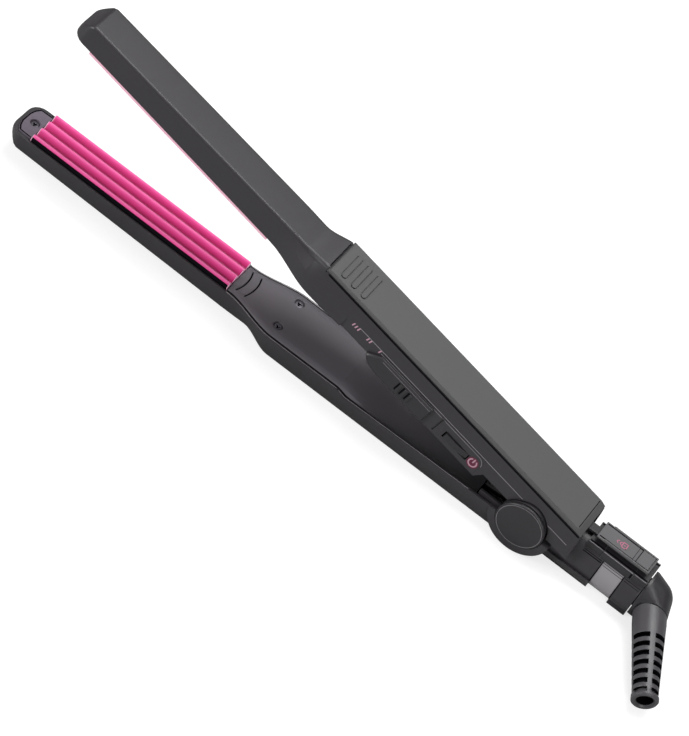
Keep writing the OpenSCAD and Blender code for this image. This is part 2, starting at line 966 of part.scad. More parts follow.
// Pointed slider cap with three thumb bars and the stem that reaches through the slot
module heat_slider() {
    front = 80.3;
    rear = 50;
    base = [[rear, 0.3], [front - 7, 0.3], [front - 2.3, 1.4], [front, 3.7], [front - 0.6, 4.6],
        [front - 5, 7.6], [rear, 7.8]];
    rim = [[rear + 0.5, 0.9], [front - 7.2, 0.9], [front - 2.8, 1.9], [front - 0.8, 3.8],
        [front - 1.2, 4.3], [front - 5.3, 7], [rear + 0.5, 7.2]];
    color(disc_grey)
        in_upper()
            on_side_flat() {
                mirror([0, 1, 0])
                    rotate([90, 0, 0])
                        hull() {
                            translate([0, 0, slit])
                                linear_extrude(0.8)
                                    polygon(base);
                            translate([0, 0, 1.3])
                                linear_extrude(0.2)
                                    polygon(rim);
                        }
                for (bar = [0:2])
                    translate([58.4 + bar * 2.4, 1.4, 2])
                        cube([0.9, 0.7, 4]);
                translate([58.8, -2.6, 4.6])
                    cube([3, 3.2, 1.6]);
            }
}

// Two-sided rocker, resting with its front end raised
module power_rocker() {
    half = 5.4;
    color(disc_grey)
        in_upper()
            on_side_flat()
                translate([rocker_centre, -panel_wall, rocker_height]) {
                    rotate([0, 0, rocker_swing / 2])
                        translate([0, 0, -1.2])
                            linear_extrude(2.4)
                                polygon([[-half, -0.9], [half, -0.9], [half, 1.3], [0, 1.95],
                                    [-half, 1.3]]);
                    translate([0, 0, -2.4])
                        cylinder(h = 4.8, r = trunnion_radius, $fn = 24);
                }
}

// ---------------------------------------------------------------- lock and cord exit

// Slab with a raised border and a pad, on a stem and a keel that runs in the rail
module lock_slider() {
    length = lock_front - lock_rear;
    color(tip_grey) {
        translate([lock_rear, -slab_half, slab_floor])
            cube([length, 2 * slab_half, 0.75]);
        translate([lock_rear, -slab_half, slab_floor]) {
            cube([length - 3, 0.6, 1.15]);
            cube([0.6, 2 * slab_half, 1.15]);
            translate([0, 2 * slab_half - 0.6, 0])
                cube([length - 3, 0.6, 1.15]);
            translate([0.9, 0.9, 0.7])
                cube([5.1, 2 * slab_half - 1.8, 0.5]);
        }
        translate([-42, -3.1, rail_top + 0.3])
            cube([14, 6.2, slab_floor - rail_top - 0.2]);
        translate([-42, -slot_half + 0.15, slot_floor + 0.15])
            cube([14, 2 * slot_half - 0.3, 2.2]);
        translate([-30, -slot_half + 0.15, bolt_level])
            cube([bolt_tip + 30, 2 * slot_half - 0.3, 1]);
    }
}

// Hood from the collar's end round the corner to the mouth of the strain relief
module swivel_elbow() {
    face = collar_rear - 0.3;
    color(charcoal)
        difference() {
            union() {
                intersection() {
                    hull() {
                        along_collar()
                            translate([0, 0, -face])
                                cylinder(h = 1, r = collar_radius - 0.2, $fn = 48);
                        translate([elbow_centre, 0, collar_height])
                            sphere(r = 7.7, $fn = 36);
                        along_relief()
                            translate([0, 0, 6])
                                rotate([-15, 0, 0])
                                    cylinder(h = 0.8, r = relief_radius + 0.5, $fn = 36);
                    }
                    translate([face - 50, -25, -20])
                        cube([50, 50, 60]);
                }
                along_collar()
                    translate([0, 0, 34])
                        cylinder(h = 14, r = collar_bore - 0.3, $fn = 64);
            }
            along_relief()
                translate([0, 0, 3.2])
                    cylinder(h = 20, r = relief_radius, $fn = 64);
        }
}

module swivel_contacts() {
    color(brass_yellow)
        along_collar()
            translate([0, 0, 33.4])
                rotate_extrude($fn = 48) {
                    square([1.6, 0.6]);
                    translate([3, 0])
                        square([1.4, 0.6]);
                }
}

slot_rows = 7;
slot_first = 18.8;
slot_pitch = 3.63;
slot_height = 1.95;

// Tapered sleeve with rows of flex slots and a plain end ring
module strain_relief() {
    color(disc_grey)
        along_relief()
            difference() {
                rotate_extrude($fn = 72)
                    polygon([[0, 3.2], [relief_radius, 3.2], [relief_radius, 11],
                        [4.6, relief_length - 2.4], [4.9, relief_length - 2.1],
                        [4.9, relief_length - 0.5], [4.5, relief_length], [0, relief_length]]);
                translate([0, 0, 9])
                    cylinder(h = relief_length, r = cord_radius, $fn = 64);
                translate([0, 0, relief_length - 0.7])
                    rotate_extrude($fn = 64)
                        polygon([[0, 0], [cord_radius, 0], [cord_radius + 0.9, 1], [0, 1]]);
                for (row = [0:slot_rows - 1], quarter = [0:3])
                    translate([0, 0, slot_first + row * slot_pitch - slot_height / 2])
                        rotate([0, 0, quarter * 90 + 15])
                            rotate_extrude(angle = 70, $fn = 72)
                                translate([3.5, 0])
                                    square([4, slot_height]);
            }
}

lower_shell();
lower_inner_cover();
lower_tip_cap();
lower_plate();
lower_heater();
lower_heater_carrier();
lower_screws();
lower_lead_wires();
hinge_pin();
near_hinge_cap();
far_hinge_cap();
hinge_spring();
neck_tube();
lock_ring();
end_ring();
lock_rail();
contact_block();
contact_springs();
upper_shell();
grip_cover();
upper_inner_cover();
upper_tip_cap();
upper_plate();
upper_heater();
upper_heater_carrier();
upper_screws();
upper_lead_wires();
lock_catch();
control_panel();
control_board();
slide_switch();
rocker_switch();
heat_slider();
power_rocker();
lock_slider();
swivel_elbow();
swivel_contacts();
strain_relief();
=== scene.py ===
"""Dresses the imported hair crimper: finishes, detailed plates, screws, printed marks and a plain studio."""

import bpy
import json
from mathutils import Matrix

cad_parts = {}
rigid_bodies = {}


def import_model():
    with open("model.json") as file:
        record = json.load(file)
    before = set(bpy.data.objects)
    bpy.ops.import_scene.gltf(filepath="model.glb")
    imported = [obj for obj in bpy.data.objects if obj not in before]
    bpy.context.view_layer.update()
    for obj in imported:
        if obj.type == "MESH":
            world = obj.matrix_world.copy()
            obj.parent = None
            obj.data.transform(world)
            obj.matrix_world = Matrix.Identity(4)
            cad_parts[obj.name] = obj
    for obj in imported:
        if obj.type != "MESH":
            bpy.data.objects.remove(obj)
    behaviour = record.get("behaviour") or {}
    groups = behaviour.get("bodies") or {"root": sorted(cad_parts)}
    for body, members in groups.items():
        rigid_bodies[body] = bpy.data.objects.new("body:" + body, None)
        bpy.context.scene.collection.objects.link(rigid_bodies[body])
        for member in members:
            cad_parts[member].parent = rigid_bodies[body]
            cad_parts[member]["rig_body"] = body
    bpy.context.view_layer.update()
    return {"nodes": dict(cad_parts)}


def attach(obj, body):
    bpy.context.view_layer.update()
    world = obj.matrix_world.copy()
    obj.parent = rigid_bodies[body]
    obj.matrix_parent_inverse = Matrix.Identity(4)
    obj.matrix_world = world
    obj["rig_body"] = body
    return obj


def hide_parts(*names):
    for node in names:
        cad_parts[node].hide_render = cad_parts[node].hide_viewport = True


bl_info = {
    "name": "Hair Crimper Dressing",
    "version": (1, 0, 0),
    "blender": (4, 5, 0),
    "location": "3D View > Sidebar > Crimper",
    "description": "Finishes, fine detail and studio for a hair crimper",
    "category": "Object",
}

import json
import math

import bmesh
import bpy
import numpy as np
from bpy.props import FloatProperty, FloatVectorProperty, PointerProperty
from mathutils import Matrix, Vector
from mathutils.bvhtree import BVHTree

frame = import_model()

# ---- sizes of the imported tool

# Places and sizes are millimetres; x runs from the hinge axis to the tips, z up from the resting face.
# The upper arm is described as it lies when closed, with z counted from the plane where the plates meet.
MM = 0.001
PLATE_PLANE = 13.8
HINGE_DROP = 1.1
HINGE_HEIGHT = PLATE_PLANE - HINGE_DROP
OPEN_ANGLE = math.radians(13.4)

PLATE_START, PLATE_END, PLATE_WIDTH, PLATE_GAP = 132.0, 220.0, 15.8, 0.5
PLATE_BAR_HALF, PLATE_BAR_DEPTH = 7.4, 2.6
RIDGE_SHIFT = 0.5

TIP_REACH, TIP_SCREW, COVER_SCREW = 229.0, 223.4, 109.6
BARREL_HALF, BARREL_FACE_HALF = 9.0, 7.5
BARREL_DEPTH, TIP_DEPTH_LOSS = 11.2, 1.5
COVER_FACE_HALF, COVER_HEIGHT = 9.45, 13.7
RISE_TIP, RISE_ROOT = 121.0, 108.0
FLARE_TIP, FLARE_ROOT = 131.0, 109.0
CREASE_LEVEL = 7.1

ELBOW_X, COLLAR_HEIGHT, COLLAR_RADIUS = -51.0, 9.5, 9.1
RING_JOINTS = (-30.5, -39.5)
RELIEF_TILT, RELIEF_TURN = math.radians(63.0), math.radians(-4.0)

# Directions, and how far outside the tool the marks start before they are laid on it
ALONG, ACROSS, UP = (1, 0, 0), (0, 1, 0), (0, 0, 1)
INTO_SIDE, DOWN = (0, -1, 0), (0, 0, -1)
BESIDE, ABOVE = 30.0, 60.0
SIDES = ((-1, "far"), (1, "near"))

# How far a thin line of painted shade or highlight, or a print, stands proud, so that it shows over the face
# that carries it
HAIRLINE = 0.012


# ---- places


def open_lower(points):
    """Closed-arm millimetres to metres: the lower arm only rises by the height of the plate plane."""
    points = np.asarray(points, float)
    return (points + [0, 0, PLATE_PLANE]) * MM


def open_upper(points):
    """Closed-arm millimetres to metres: a turn about the hinge by the opening angle a.

    x' = x cos a - z sin a and z' = x sin a + z cos a, with z counted from the hinge axis.
    """
    points = np.asarray(points, float)
    x, y, z = points[..., 0], points[..., 1], points[..., 2] + HINGE_DROP
    c, s = math.cos(OPEN_ANGLE), math.sin(OPEN_ANGLE)
    turned = np.stack([x * c - z * s, y, x * s + z * c + HINGE_HEIGHT], -1)
    return turned * MM


def upper_way(x, y, z):
    """A direction on the closed upper arm, as a unit vector of the opened tool."""
    way = open_upper([x, y, z]) - open_upper([0, 0, 0])
    return way / np.linalg.norm(way)


def beside(x, z):
    """Points beside the near side of the tool."""
    x, z = np.broadcast_arrays(x, z)
    return np.stack([x, np.full(x.shape, BESIDE), z], -1)


def over(x, y):
    """Points above the tool."""
    x, y = np.broadcast_arrays(x, y)
    return np.stack([x, y, np.full(x.shape, ABOVE)], -1)


def spokes(start, end, count, flat=False):
    """Unit vectors from one angle to another, in degrees: upright along the tool, or lying flat."""
    t = np.radians(np.linspace(start, end, count))
    parts = [np.cos(t), np.sin(t), np.zeros_like(t)] if flat else [np.cos(t), np.zeros_like(t), np.sin(t)]
    return np.stack(parts, -1)


def ease(x, start, end):
    """Zero before the start and one past the end, with three t squared minus two t cubed between them."""
    t = np.clip((start - x) / (start - end), 0, 1)
    return t * t * (3 - 2 * t)


def band(line, width, turned):
    """A line of points as a grid of two rows, the width apart along the turned direction."""
    line, shift = np.asarray(line, float), np.asarray(turned, float) * width / 2
    return np.stack([line - shift, line + shift], 1)


# ---- meshes


def mesh_object(name, vertices, faces, material):
    """An object at the origin, with its points and faces as given."""
    mesh = bpy.data.meshes.new(name)
    mesh.from_pydata(np.asarray(vertices, float).reshape(-1, 3).tolist(), [], faces)
    mesh.validate()
    mesh.materials.append(material)
    piece = bpy.data.objects.new(name, mesh)
    bpy.context.scene.collection.objects.link(piece)
    return piece


def grid_faces(rows, columns, closed_columns=False, offset=0):
    """Quads between neighbouring points of a grid whose point (i, j) has the number i * columns + j."""
    i, j = np.meshgrid(
        np.arange(rows - 1), np.arange(columns if closed_columns else columns - 1), indexing="ij"
    )
    beside_it = (j + 1) % columns
    corners = [
        i * columns + j, i * columns + beside_it, (i + 1) * columns + beside_it, (i + 1) * columns + j,
    ]
    return (np.stack(corners, -1).reshape(-1, 4) + offset).tolist()


def outward(piece):
    """Merges doubles, turns every face outwards and keeps edges sharper than 35 degrees sharp."""
    shape = bmesh.new()
    shape.from_mesh(piece.data)
    bmesh.ops.remove_doubles(shape, verts=shape.verts, dist=1e-7)
    bmesh.ops.recalc_face_normals(shape, faces=shape.faces)
    shape.to_mesh(piece.data)
    shape.free()
    piece.data.shade_smooth()
    piece.data.set_sharp_from_angle(angle=math.radians(35))
    return piece


def paired_rows(name, above, below, material):
    """A closed bar between two grids of equal shape, one above the other, joined at all four sides.

    Both grids hold stations along the bar in their first direction and points across it in their second.
    """
    above, below = np.asarray(above, float), np.asarray(below, float)
    rows, columns = above.shape[:2]
    ring = np.concatenate([above, below[:, ::-1]], axis=1)
    faces = grid_faces(rows, 2 * columns, closed_columns=True)
    i = np.arange(columns - 1)
    for row, order in ((0, 1), (rows - 1, -1)):
        start = row * 2 * columns
        under = start + 2 * columns - 1 - i
        cap = np.stack([start + i, start + i + 1, under - 1, under], -1)
        faces += cap[:, ::order].tolist()
    return outward(mesh_object(name, ring.reshape(-1, 3), faces, material))


def revolved(name, turnings, material):
    """Closed skins over rings of equal size, stacked along an axis, with a fan over each end."""
    vertices, faces, offset = [], [], 0
    for rings in turnings:
        rings = np.asarray(rings, float)
        rows, columns = rings.shape[:2]
        faces += grid_faces(rows, columns, closed_columns=True, offset=offset)
        j = np.arange(columns)
        next_one = (j + 1) % columns
        first = offset + rows * columns
        last = offset + (rows - 1) * columns
        faces += np.stack([np.full(columns, first), offset + next_one, offset + j], -1).tolist()
        faces += np.stack([np.full(columns, first + 1), last + j, last + next_one], -1).tolist()
        vertices += [rings.reshape(-1, 3), rings[[0, -1]].mean(axis=1)]
        offset = first + 2
    return outward(mesh_object(name, np.concatenate(vertices), faces, material))


def skin_of(*nodes):
    """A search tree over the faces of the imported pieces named; their meshes are loose triangles."""
    corners = []
    for node in nodes:
        mesh = frame["nodes"][node].data
        places = np.empty(3 * len(mesh.vertices))
        mesh.vertices.foreach_get("co", places)
        triangles = np.empty(3 * len(mesh.polygons), int)
        mesh.polygons.foreach_get("vertices", triangles)
        corners.append(places.reshape(-1, 3)[triangles])
    corners = np.concatenate(corners)
    faces = np.arange(len(corners)).reshape(-1, 3)
    return BVHTree.FromPolygons(corners.tolist(), faces.tolist())


def laid_on(skin, starts, towards):
    """Where lines from the starts meet the skin, and the way it faces there, both as arrays."""
    starts = np.asarray(starts, float)
    places, faces = np.empty_like(starts), np.empty_like(starts)
    for k in np.ndindex(starts.shape[:-1]):
        place, face, _, _ = skin.ray_cast(Vector(starts[k]), Vector(towards))
        if place is None:
            raise RuntimeError("a mark misses its surface")
        places[k] = place
        faces[k] = face
    return places, faces


def thin_mark(name, skin, starts, towards, proud, material):
    """A mark on a surface: a grid of points laid on it, lifted by a thickness and closed underneath."""
    sunk = 0.03
    places, faces = laid_on(skin, starts, towards)
    return paired_rows(name, places + faces * proud * MM, places - faces * sunk * MM, material)


def fine_copy(node, material, bevel=0.0):
    """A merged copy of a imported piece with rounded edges; large faces keep their own normals."""
    sharp = math.radians(28.0)
    mesh = frame["nodes"][node].data.copy()
    shape = bmesh.new()
    shape.from_mesh(mesh)
    bmesh.ops.remove_doubles(shape, verts=shape.verts, dist=2e-6)
    bmesh.ops.dissolve_limit(shape, angle_limit=math.radians(0.25), verts=shape.verts, edges=shape.edges)
    shape.to_mesh(mesh)
    shape.free()
    mesh.materials.clear()
    mesh.materials.append(material)
    mesh.shade_smooth()
    mesh.set_sharp_from_angle(angle=sharp)
    piece = bpy.data.objects.new(node + "_fine", mesh)
    bpy.context.scene.collection.objects.link(piece)
    if bevel:
        rounding = piece.modifiers.new("Rounded edges", "BEVEL")
        rounding.width = bevel * MM
        rounding.segments = 2
        rounding.limit_method = "ANGLE"
        rounding.angle_limit = sharp
        rounding.use_clamp_overlap = True
        rounding.harden_normals = False
    weighted = piece.modifiers.new("Weighted normals", "WEIGHTED_NORMAL")
    weighted.keep_sharp = True
    return piece


def second_finish(piece, material, chosen):
    """Gives a second finish to the faces whose centres, in millimetres, are chosen."""
    mesh = piece.data
    mesh.materials.append(material)
    centres = np.empty(3 * len(mesh.polygons))
    mesh.polygons.foreach_get("center", centres)
    kept = np.empty(len(mesh.polygons), np.int32)
    mesh.polygons.foreach_get("material_index", kept)
    fresh = np.where(chosen(centres.reshape(-1, 3) / MM), len(mesh.materials) - 1, kept)
    mesh.polygons.foreach_set("material_index", fresh.astype(np.int32))
    mesh.update()


def settle(piece, body, replaces=()):
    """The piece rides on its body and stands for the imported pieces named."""
    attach(piece, body)
    if replaces:
        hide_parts(*replaces)
    return piece


# ---- shader groups


def new_group(name, inputs, outputs):
    """An empty shader group with its named sockets; inputs are (name, type, default)."""
    group = bpy.data.node_groups.new(name, "ShaderNodeTree")
    for label, kind, value in inputs:
        socket = group.interface.new_socket(label, in_out="INPUT", socket_type=kind)
        if value is not None:
            socket.default_value = value
    for label, kind in outputs:
        group.interface.new_socket(label, in_out="OUTPUT", socket_type=kind)
    return group, group.nodes.new("NodeGroupInput"), group.nodes.new("NodeGroupOutput")


def maths(tree, operation, first, second=None, clamp=False):
    """The output of a Math node whose inputs are numbers or sockets."""
    node = tree.nodes.new("ShaderNodeMath")
    node.operation = operation
    node.use_clamp = clamp
    for socket, value in zip(node.inputs, (first, second)):
        if value is None:
            continue
        if isinstance(value, (int, float)):
            socket.default_value = value
        else:
            tree.links.new(value, socket)
    return node.outputs[0]


def noise(group, vector, size, detail):
    """A noise whose cells have about the given size in millimetres, a number or a socket."""
    texture = group.nodes.new("ShaderNodeTexNoise")
    texture.inputs["Detail"].default_value = detail
    group.links.new(vector, texture.inputs["Vector"])
    group.links.new(maths(group, "DIVIDE", 1 / MM, size), texture.inputs["Scale"])
    return texture.outputs["Fac"]


def moulded_grain_group():
    """Fine spark-eroded grain of a moulding: a height from two sizes of noise."""
    group, source, sink = new_group(
        "Moulded grain",
        [("Vector", "NodeSocketVector", None), ("Grain size", "NodeSocketFloat", 0.3)],
        [("Height", "NodeSocketFloat")],
    )
    size = source.outputs["Grain size"]
    fine = noise(group, source.outputs["Vector"], size, 2.0)
    coarse = noise(group, source.outputs["Vector"], maths(group, "DIVIDE", size, 0.31), 1.0)
    mixed = maths(group, "ADD", fine, maths(group, "MULTIPLY", coarse, 0.5))
    group.links.new(mixed, sink.inputs["Height"])
    return group


def handling_group():
    """Broad, faint changes of sheen and tone where a tool is held and wiped."""
    group, source, sink = new_group(
        "Handling",
        [
            ("Vector", "NodeSocketVector", None),
            ("Patch size", "NodeSocketFloat", 18.0),
            ("Streak size", "NodeSocketFloat", 1.2),
        ],
        [("Patches", "NodeSocketFloat"), ("Streaks", "NodeSocketFloat")],
    )
    stretch = group.nodes.new("ShaderNodeMapping")
    stretch.inputs["Scale"].default_value = (0.06, 1.0, 1.0)
    group.links.new(source.outputs["Vector"], stretch.inputs["Vector"])
    patches = noise(group, source.outputs["Vector"], source.outputs["Patch size"], 3.0)
    streaks = noise(group, stretch.outputs["Vector"], source.outputs["Streak size"], 4.0)
    group.links.new(patches, sink.inputs["Patches"])
    group.links.new(streaks, sink.inputs["Streaks"])
    return group


def soft_edge_group():
    """Rounds the shading of edges and gives a mask of the edges themselves."""
    group, source, sink = new_group(
        "Soft edge",
        [("Radius", "NodeSocketFloat", 0.25)],
        [("Normal", "NodeSocketVector"), ("Edge", "NodeSocketFloat")],
    )
    rounding = group.nodes.new("ShaderNodeBevel")
    rounding.samples = 4
    group.links.new(maths(group, "MULTIPLY", source.outputs["Radius"], MM), rounding.inputs["Radius"])
    shape = group.nodes.new("ShaderNodeNewGeometry")
    facing = group.nodes.new("ShaderNodeVectorMath")
    facing.operation = "DOT_PRODUCT"
    group.links.new(rounding.outputs["Normal"], facing.inputs[0])
    group.links.new(shape.outputs["Normal"], facing.inputs[1])
    edge = maths(group, "SUBTRACT", 1.0, facing.outputs["Value"], clamp=True)
    group.links.new(maths(group, "MULTIPLY", edge, 4.0, clamp=True), sink.inputs["Edge"])
    group.links.new(rounding.outputs["Normal"], sink.inputs["Normal"])
    return group


GROUP_MAKERS = {"grain": moulded_grain_group, "handling": handling_group, "edge": soft_edge_group}
GROUPS = {}


def group_node(tree, key):
    """A node of the shader group with this key, which is built the first time it is asked for."""
    if key not in GROUPS:
        GROUPS[key] = GROUP_MAKERS[key]()
    node = tree.nodes.new("ShaderNodeGroup")
    node.node_tree = GROUPS[key]
    return node


# ---- finishes


def blend_colours(tree, factor, first, second):
    """The output of a Mix node between two colours, each a tuple or a socket."""
    mix = tree.nodes.new("ShaderNodeMix")
    mix.data_type = "RGBA"
    tree.links.new(factor, mix.inputs[0])
    for socket, value in ((mix.inputs[6], first), (mix.inputs[7], second)):
        if isinstance(value, tuple):
            socket.default_value = (*value, 1.0)
        else:
            tree.links.new(value, socket)
    return mix.outputs[2]


def scaled(colour, factor):
    """A colour made lighter or darker by a factor."""
    return tuple(min(1.0, c * factor) for c in colour[:3])


def varied_roughness(tree, roughness, streaks, height):
    """A roughness that the streaks and the grain shift a little both ways round their means."""
    mean_streak, mean_height = 0.5, 0.75
    from_streaks = maths(tree, "MULTIPLY", maths(tree, "SUBTRACT", streaks, mean_streak), 0.12)
    from_grain = maths(tree, "MULTIPLY", maths(tree, "SUBTRACT", height, mean_height), 0.1)
    return maths(tree, "ADD", maths(tree, "ADD", from_streaks, roughness), from_grain, clamp=True)


def finish(name, colour, roughness, **look):
    """A moulded or coated finish: grain, handling marks and lighter edges, partly wear and partly painted
    highlight, on one Principled shader.
    """
    material = bpy.data.materials.new(name)
    material.use_nodes = True
    tree = material.node_tree
    shader = tree.nodes["Principled BSDF"]
    place = tree.nodes.new("ShaderNodeTexCoord").outputs["Object"]
    grain = group_node(tree, "grain")
    grain.inputs["Grain size"].default_value = look.get("grain", 0.3)
    tree.links.new(place, grain.inputs["Vector"])
    handling = group_node(tree, "handling")
    handling.inputs["Patch size"].default_value = look.get("patches", 18.0)
    tree.links.new(place, handling.inputs["Vector"])
    edge = group_node(tree, "edge")
    edge.inputs["Radius"].default_value = look.get("rounding", 0.25)

    colour = tuple(colour[:3])
    spread = look.get("spread", 0.06)
    patchy = blend_colours(
        tree, handling.outputs["Patches"], scaled(colour, 1 - spread), scaled(colour, 1 + spread)
    )
    # Edges blend towards a paler colour: partly wear, partly a painted highlight along the rounded edges.
    wear = maths(tree, "MULTIPLY", edge.outputs["Edge"], look.get("wear", 0.12))
    worn = blend_colours(tree, wear, patchy, look.get("worn", scaled(colour, 1.6)))
    tree.links.new(worn, shader.inputs["Base Color"])
    rough = varied_roughness(tree, roughness, handling.outputs["Streaks"], grain.outputs["Height"])
    tree.links.new(rough, shader.inputs["Roughness"])
    bump = tree.nodes.new("ShaderNodeBump")
    bump.inputs["Strength"].default_value = look.get("bump", 0.15)
    bump.inputs["Distance"].default_value = look.get("depth", 0.02) * MM
    tree.links.new(grain.outputs["Height"], bump.inputs["Height"])
    tree.links.new(edge.outputs["Normal"], bump.inputs["Normal"])
    tree.links.new(bump.outputs["Normal"], shader.inputs["Normal"])
    shader.inputs["Specular IOR Level"].default_value = look.get("specular", 0.5)
    shader.inputs["Coat Roughness"].default_value = 0.2
    for label, key in (("Metallic", "metallic"), ("Coat Weight", "coat"), ("Sheen Weight", "sheen")):
        shader.inputs[label].default_value = look.get(key, 0.0)
    return material


def line_finish(name, colour, roughness, **look):
    """A finish for printed marks and for thin lines of painted shade and highlight, which are too thin for
    rounding or wear.
    """
    return finish(name, colour, roughness, grain=0.1, bump=0.1, rounding=0.01, wear=0.0, **look)


def colour_and_place(material):
    """The Base Color socket of a finish, what feeds it, and the split Object coordinates."""
    tree = material.node_tree
    base = tree.nodes["Principled BSDF"].inputs["Base Color"]
    split = tree.nodes.new("ShaderNodeSeparateXYZ")
    place = next(node for node in tree.nodes if node.bl_idname == "ShaderNodeTexCoord")
    tree.links.new(place.outputs["Object"], split.inputs["Vector"])
    return tree, base, base.links[0].from_socket, split.outputs


def painted_shade_along(material, start, end, depth):
    """Paints shade into a finish towards the hinge, by a share that grows evenly from one x to another."""
    tree, base, tone, place = colour_and_place(material)
    reach = maths(tree, "SUBTRACT", start * MM, place["X"])
    share = maths(tree, "MULTIPLY", maths(tree, "DIVIDE", reach, (start - end) * MM, clamp=True), depth)
    # The near-black colour is the painted shade.
    tree.links.new(blend_colours(tree, share, tone, (0.003, 0.003, 0.004)), base)
    return material


def ridge_light_and_shade(material, pitch, groove, crest, rim):
    """Paints shade into the coating in the grooves, paints a highlight along the ridges and pales it on the
    rim.

    A groove is half plus half the cosine of y over the pitch, a ridge is the rest, and the rim lies
    outside the plate's own width.
    """
    tree, base, coating, place = colour_and_place(material)
    across = maths(tree, "ADD", place["Y"], RIDGE_SHIFT * MM)
    turn = maths(tree, "MULTIPLY", across, 2 * math.pi / (pitch * MM))
    hollow = maths(tree, "ADD", maths(tree, "MULTIPLY", maths(tree, "COSINE", turn), 0.5), 0.5)
    ridge = maths(tree, "SUBTRACT", 1.0, hollow)
    # Painted shade in the grooves and a painted highlight along the crests.
    deep = maths(tree, "MULTIPLY", maths(tree, "POWER", hollow, 1.2), 0.95)
    ridge_highlight = maths(tree, "MULTIPLY", maths(tree, "POWER", ridge, 5.0), 0.85)
    rim_start = PLATE_WIDTH / 2 + 0.2
    outer = maths(tree, "GREATER_THAN", maths(tree, "ABSOLUTE", place["Y"]), rim_start * MM)
    tinted = blend_colours(tree, deep, coating, groove)
    tinted = blend_colours(tree, ridge_highlight, tinted, crest)
    tree.links.new(blend_colours(tree, outer, tinted, rim), base)
    return material


# ---- settings


def tone(name, description, default):
    """A colour that a user may change."""
    return FloatVectorProperty(name=name, description=description, subtype="COLOR", default=default)


class CrimperFinishes(bpy.types.PropertyGroup):
    shell: tone("Shell", "Charcoal of the two arms", (0.03, 0.0275, 0.031))
    grip: tone("Grip cover", "Grey of the grip cover", (0.068, 0.068, 0.069))
    cap: tone("Hinge discs", "Dark grey of the discs", (0.022, 0.02, 0.023))
    trim: tone("Lock slider", "Grey of the lock slider", (0.095, 0.092, 0.096))
    ring: tone("Lock ring", "Pale grey of the lock ring", (0.26, 0.25, 0.262))
    cover: tone("Inner covers", "Charcoal of the inner covers", (0.1, 0.092, 0.105))
    relief: tone("Relief", "Charcoal of the strain relief", (0.06, 0.057, 0.062))
    tip: tone("Tip inserts", "Purple grey of the tip inserts", (0.13, 0.11, 0.14))
    plate: tone("Plates", "Pink coating of the plates", (0.72, 0.045, 0.25))
    # The groove and ridge colours are painted shade and painted highlight on the pink coating.
    plate_groove_shade: tone("Plate grooves", "Deeper pink in the grooves", (0.36, 0.01, 0.09))
    plate_ridge_highlight: tone("Plate ridges", "Paler pink along the ridges", (0.94, 0.19, 0.46))
    plate_rim: tone("Plate rim", "Pale rim of the upper plate", (0.9, 0.5, 0.62))
    mark: tone("Marks", "Pale pink of the printed marks", (0.46, 0.26, 0.33))
    mark_ground: tone("Mark ground", "Dark pink behind the power sign", (0.1, 0.008, 0.032))
    sign: tone("Lock sign", "Faded pink of the lock sign", (0.42, 0.12, 0.2))
    # A painted highlight along fine edges and creases.
    painted_highlight: tone("Beads", "Paler grey of the fine beads", (0.2, 0.19, 0.2))
    # A painted highlight along the lower shell's rim.
    rim_highlight_tone: tone("Painted rim highlight", "Pale grey of the bead on the rim", (0.32, 0.3, 0.32))


class CrimperSizes(bpy.types.PropertyGroup):
    rounding: FloatProperty(
        name="Edge rounding", description="Radius of edges in millimetres", default=0.22, min=0.0, max=0.5
    )
    ink: FloatProperty(
        name="Ink", description="Thickness of a printed mark in millimetres", default=0.03, min=0.01, max=0.1
    )
    wave_height: FloatProperty(
        name="Ridge height", description="Height of the ridges over their mean in millimetres", default=1.0
    )
    wave_pitch: FloatProperty(
        name="Ridge pitch", description="Distance between two ridges in millimetres", default=4.8
    )


class CrimperStage(bpy.types.PropertyGroup):
    floor_size: FloatProperty(
        name="Floor", description="Width of the floor", subtype="DISTANCE", unit="LENGTH", default=6.0
    )
    floor_glow: FloatProperty(
        name="Floor glow", description="Brightness added to the floor as it is seen", default=0.72
    )
    overhead_power: FloatProperty(
        name="Overhead light", description="Power of the overhead light in watts", default=9.0
    )
    tip_power: FloatProperty(
        name="Tip side light", description="Power of the light past the tips in watts", default=9.5
    )
    cord_power: FloatProperty(
        name="Cord side light", description="Power of the light past the cord exit in watts", default=5.0
    )
    ambient: FloatProperty(name="Ambient", description="Strength of the surrounding white", default=0.2)


def settings():
    """The scene's own copies of the three groups of settings."""
    scene = bpy.context.scene
    return scene.crimper_finishes, scene.crimper_sizes, scene.crimper_stage


FINISHES = {}


def body_finishes(tones, rounding):
    """Finishes of the mouldings that a hand touches."""
    dish = finish("Inner cover moulding", tones.cover, 0.52, grain=0.22, bump=0.16, rounding=0.2)
    return {
        "shell": finish("Charcoal moulding", tones.shell, 0.42, grain=0.22, bump=0.16, rounding=rounding),
        "grip": finish(
            "Soft grey grip", tones.grip, 0.5, grain=0.26, bump=0.22, rounding=rounding,
            spread=0.04, sheen=0.1,
        ),
        # The discs' strong, pale edge is mostly a painted highlight round their rims.
        "cap": finish(
            "Disc moulding", tones.cap, 0.4, grain=0.25, bump=0.1, rounding=0.3,
            wear=0.9, worn=(0.16, 0.155, 0.165),
        ),
        "trim": finish("Grey trim moulding", tones.trim, 0.38, grain=0.25, bump=0.12, rounding=0.18),
        "ring": finish("Pale ring moulding", tones.ring, 0.34, grain=0.25, bump=0.12, rounding=0.15),
        # Painted shade on the inner covers, darker towards the hinge, where the arms shade the dish.
        "cover": painted_shade_along(dish, 78.0, 22.0, 0.75),
        "tip": finish(
            "Speckled tip moulding", tones.tip, 0.36, grain=0.5, bump=0.3, rounding=0.15,
            spread=0.2, patches=1.2,
        ),
        "button": finish("Control moulding", tones.cap, 0.42, grain=0.25, bump=0.12, rounding=0.15),
        "rubber": finish("Flexible sleeve", tones.relief, 0.4, grain=0.3, bump=0.2, rounding=0.2, spread=0.1),
    }


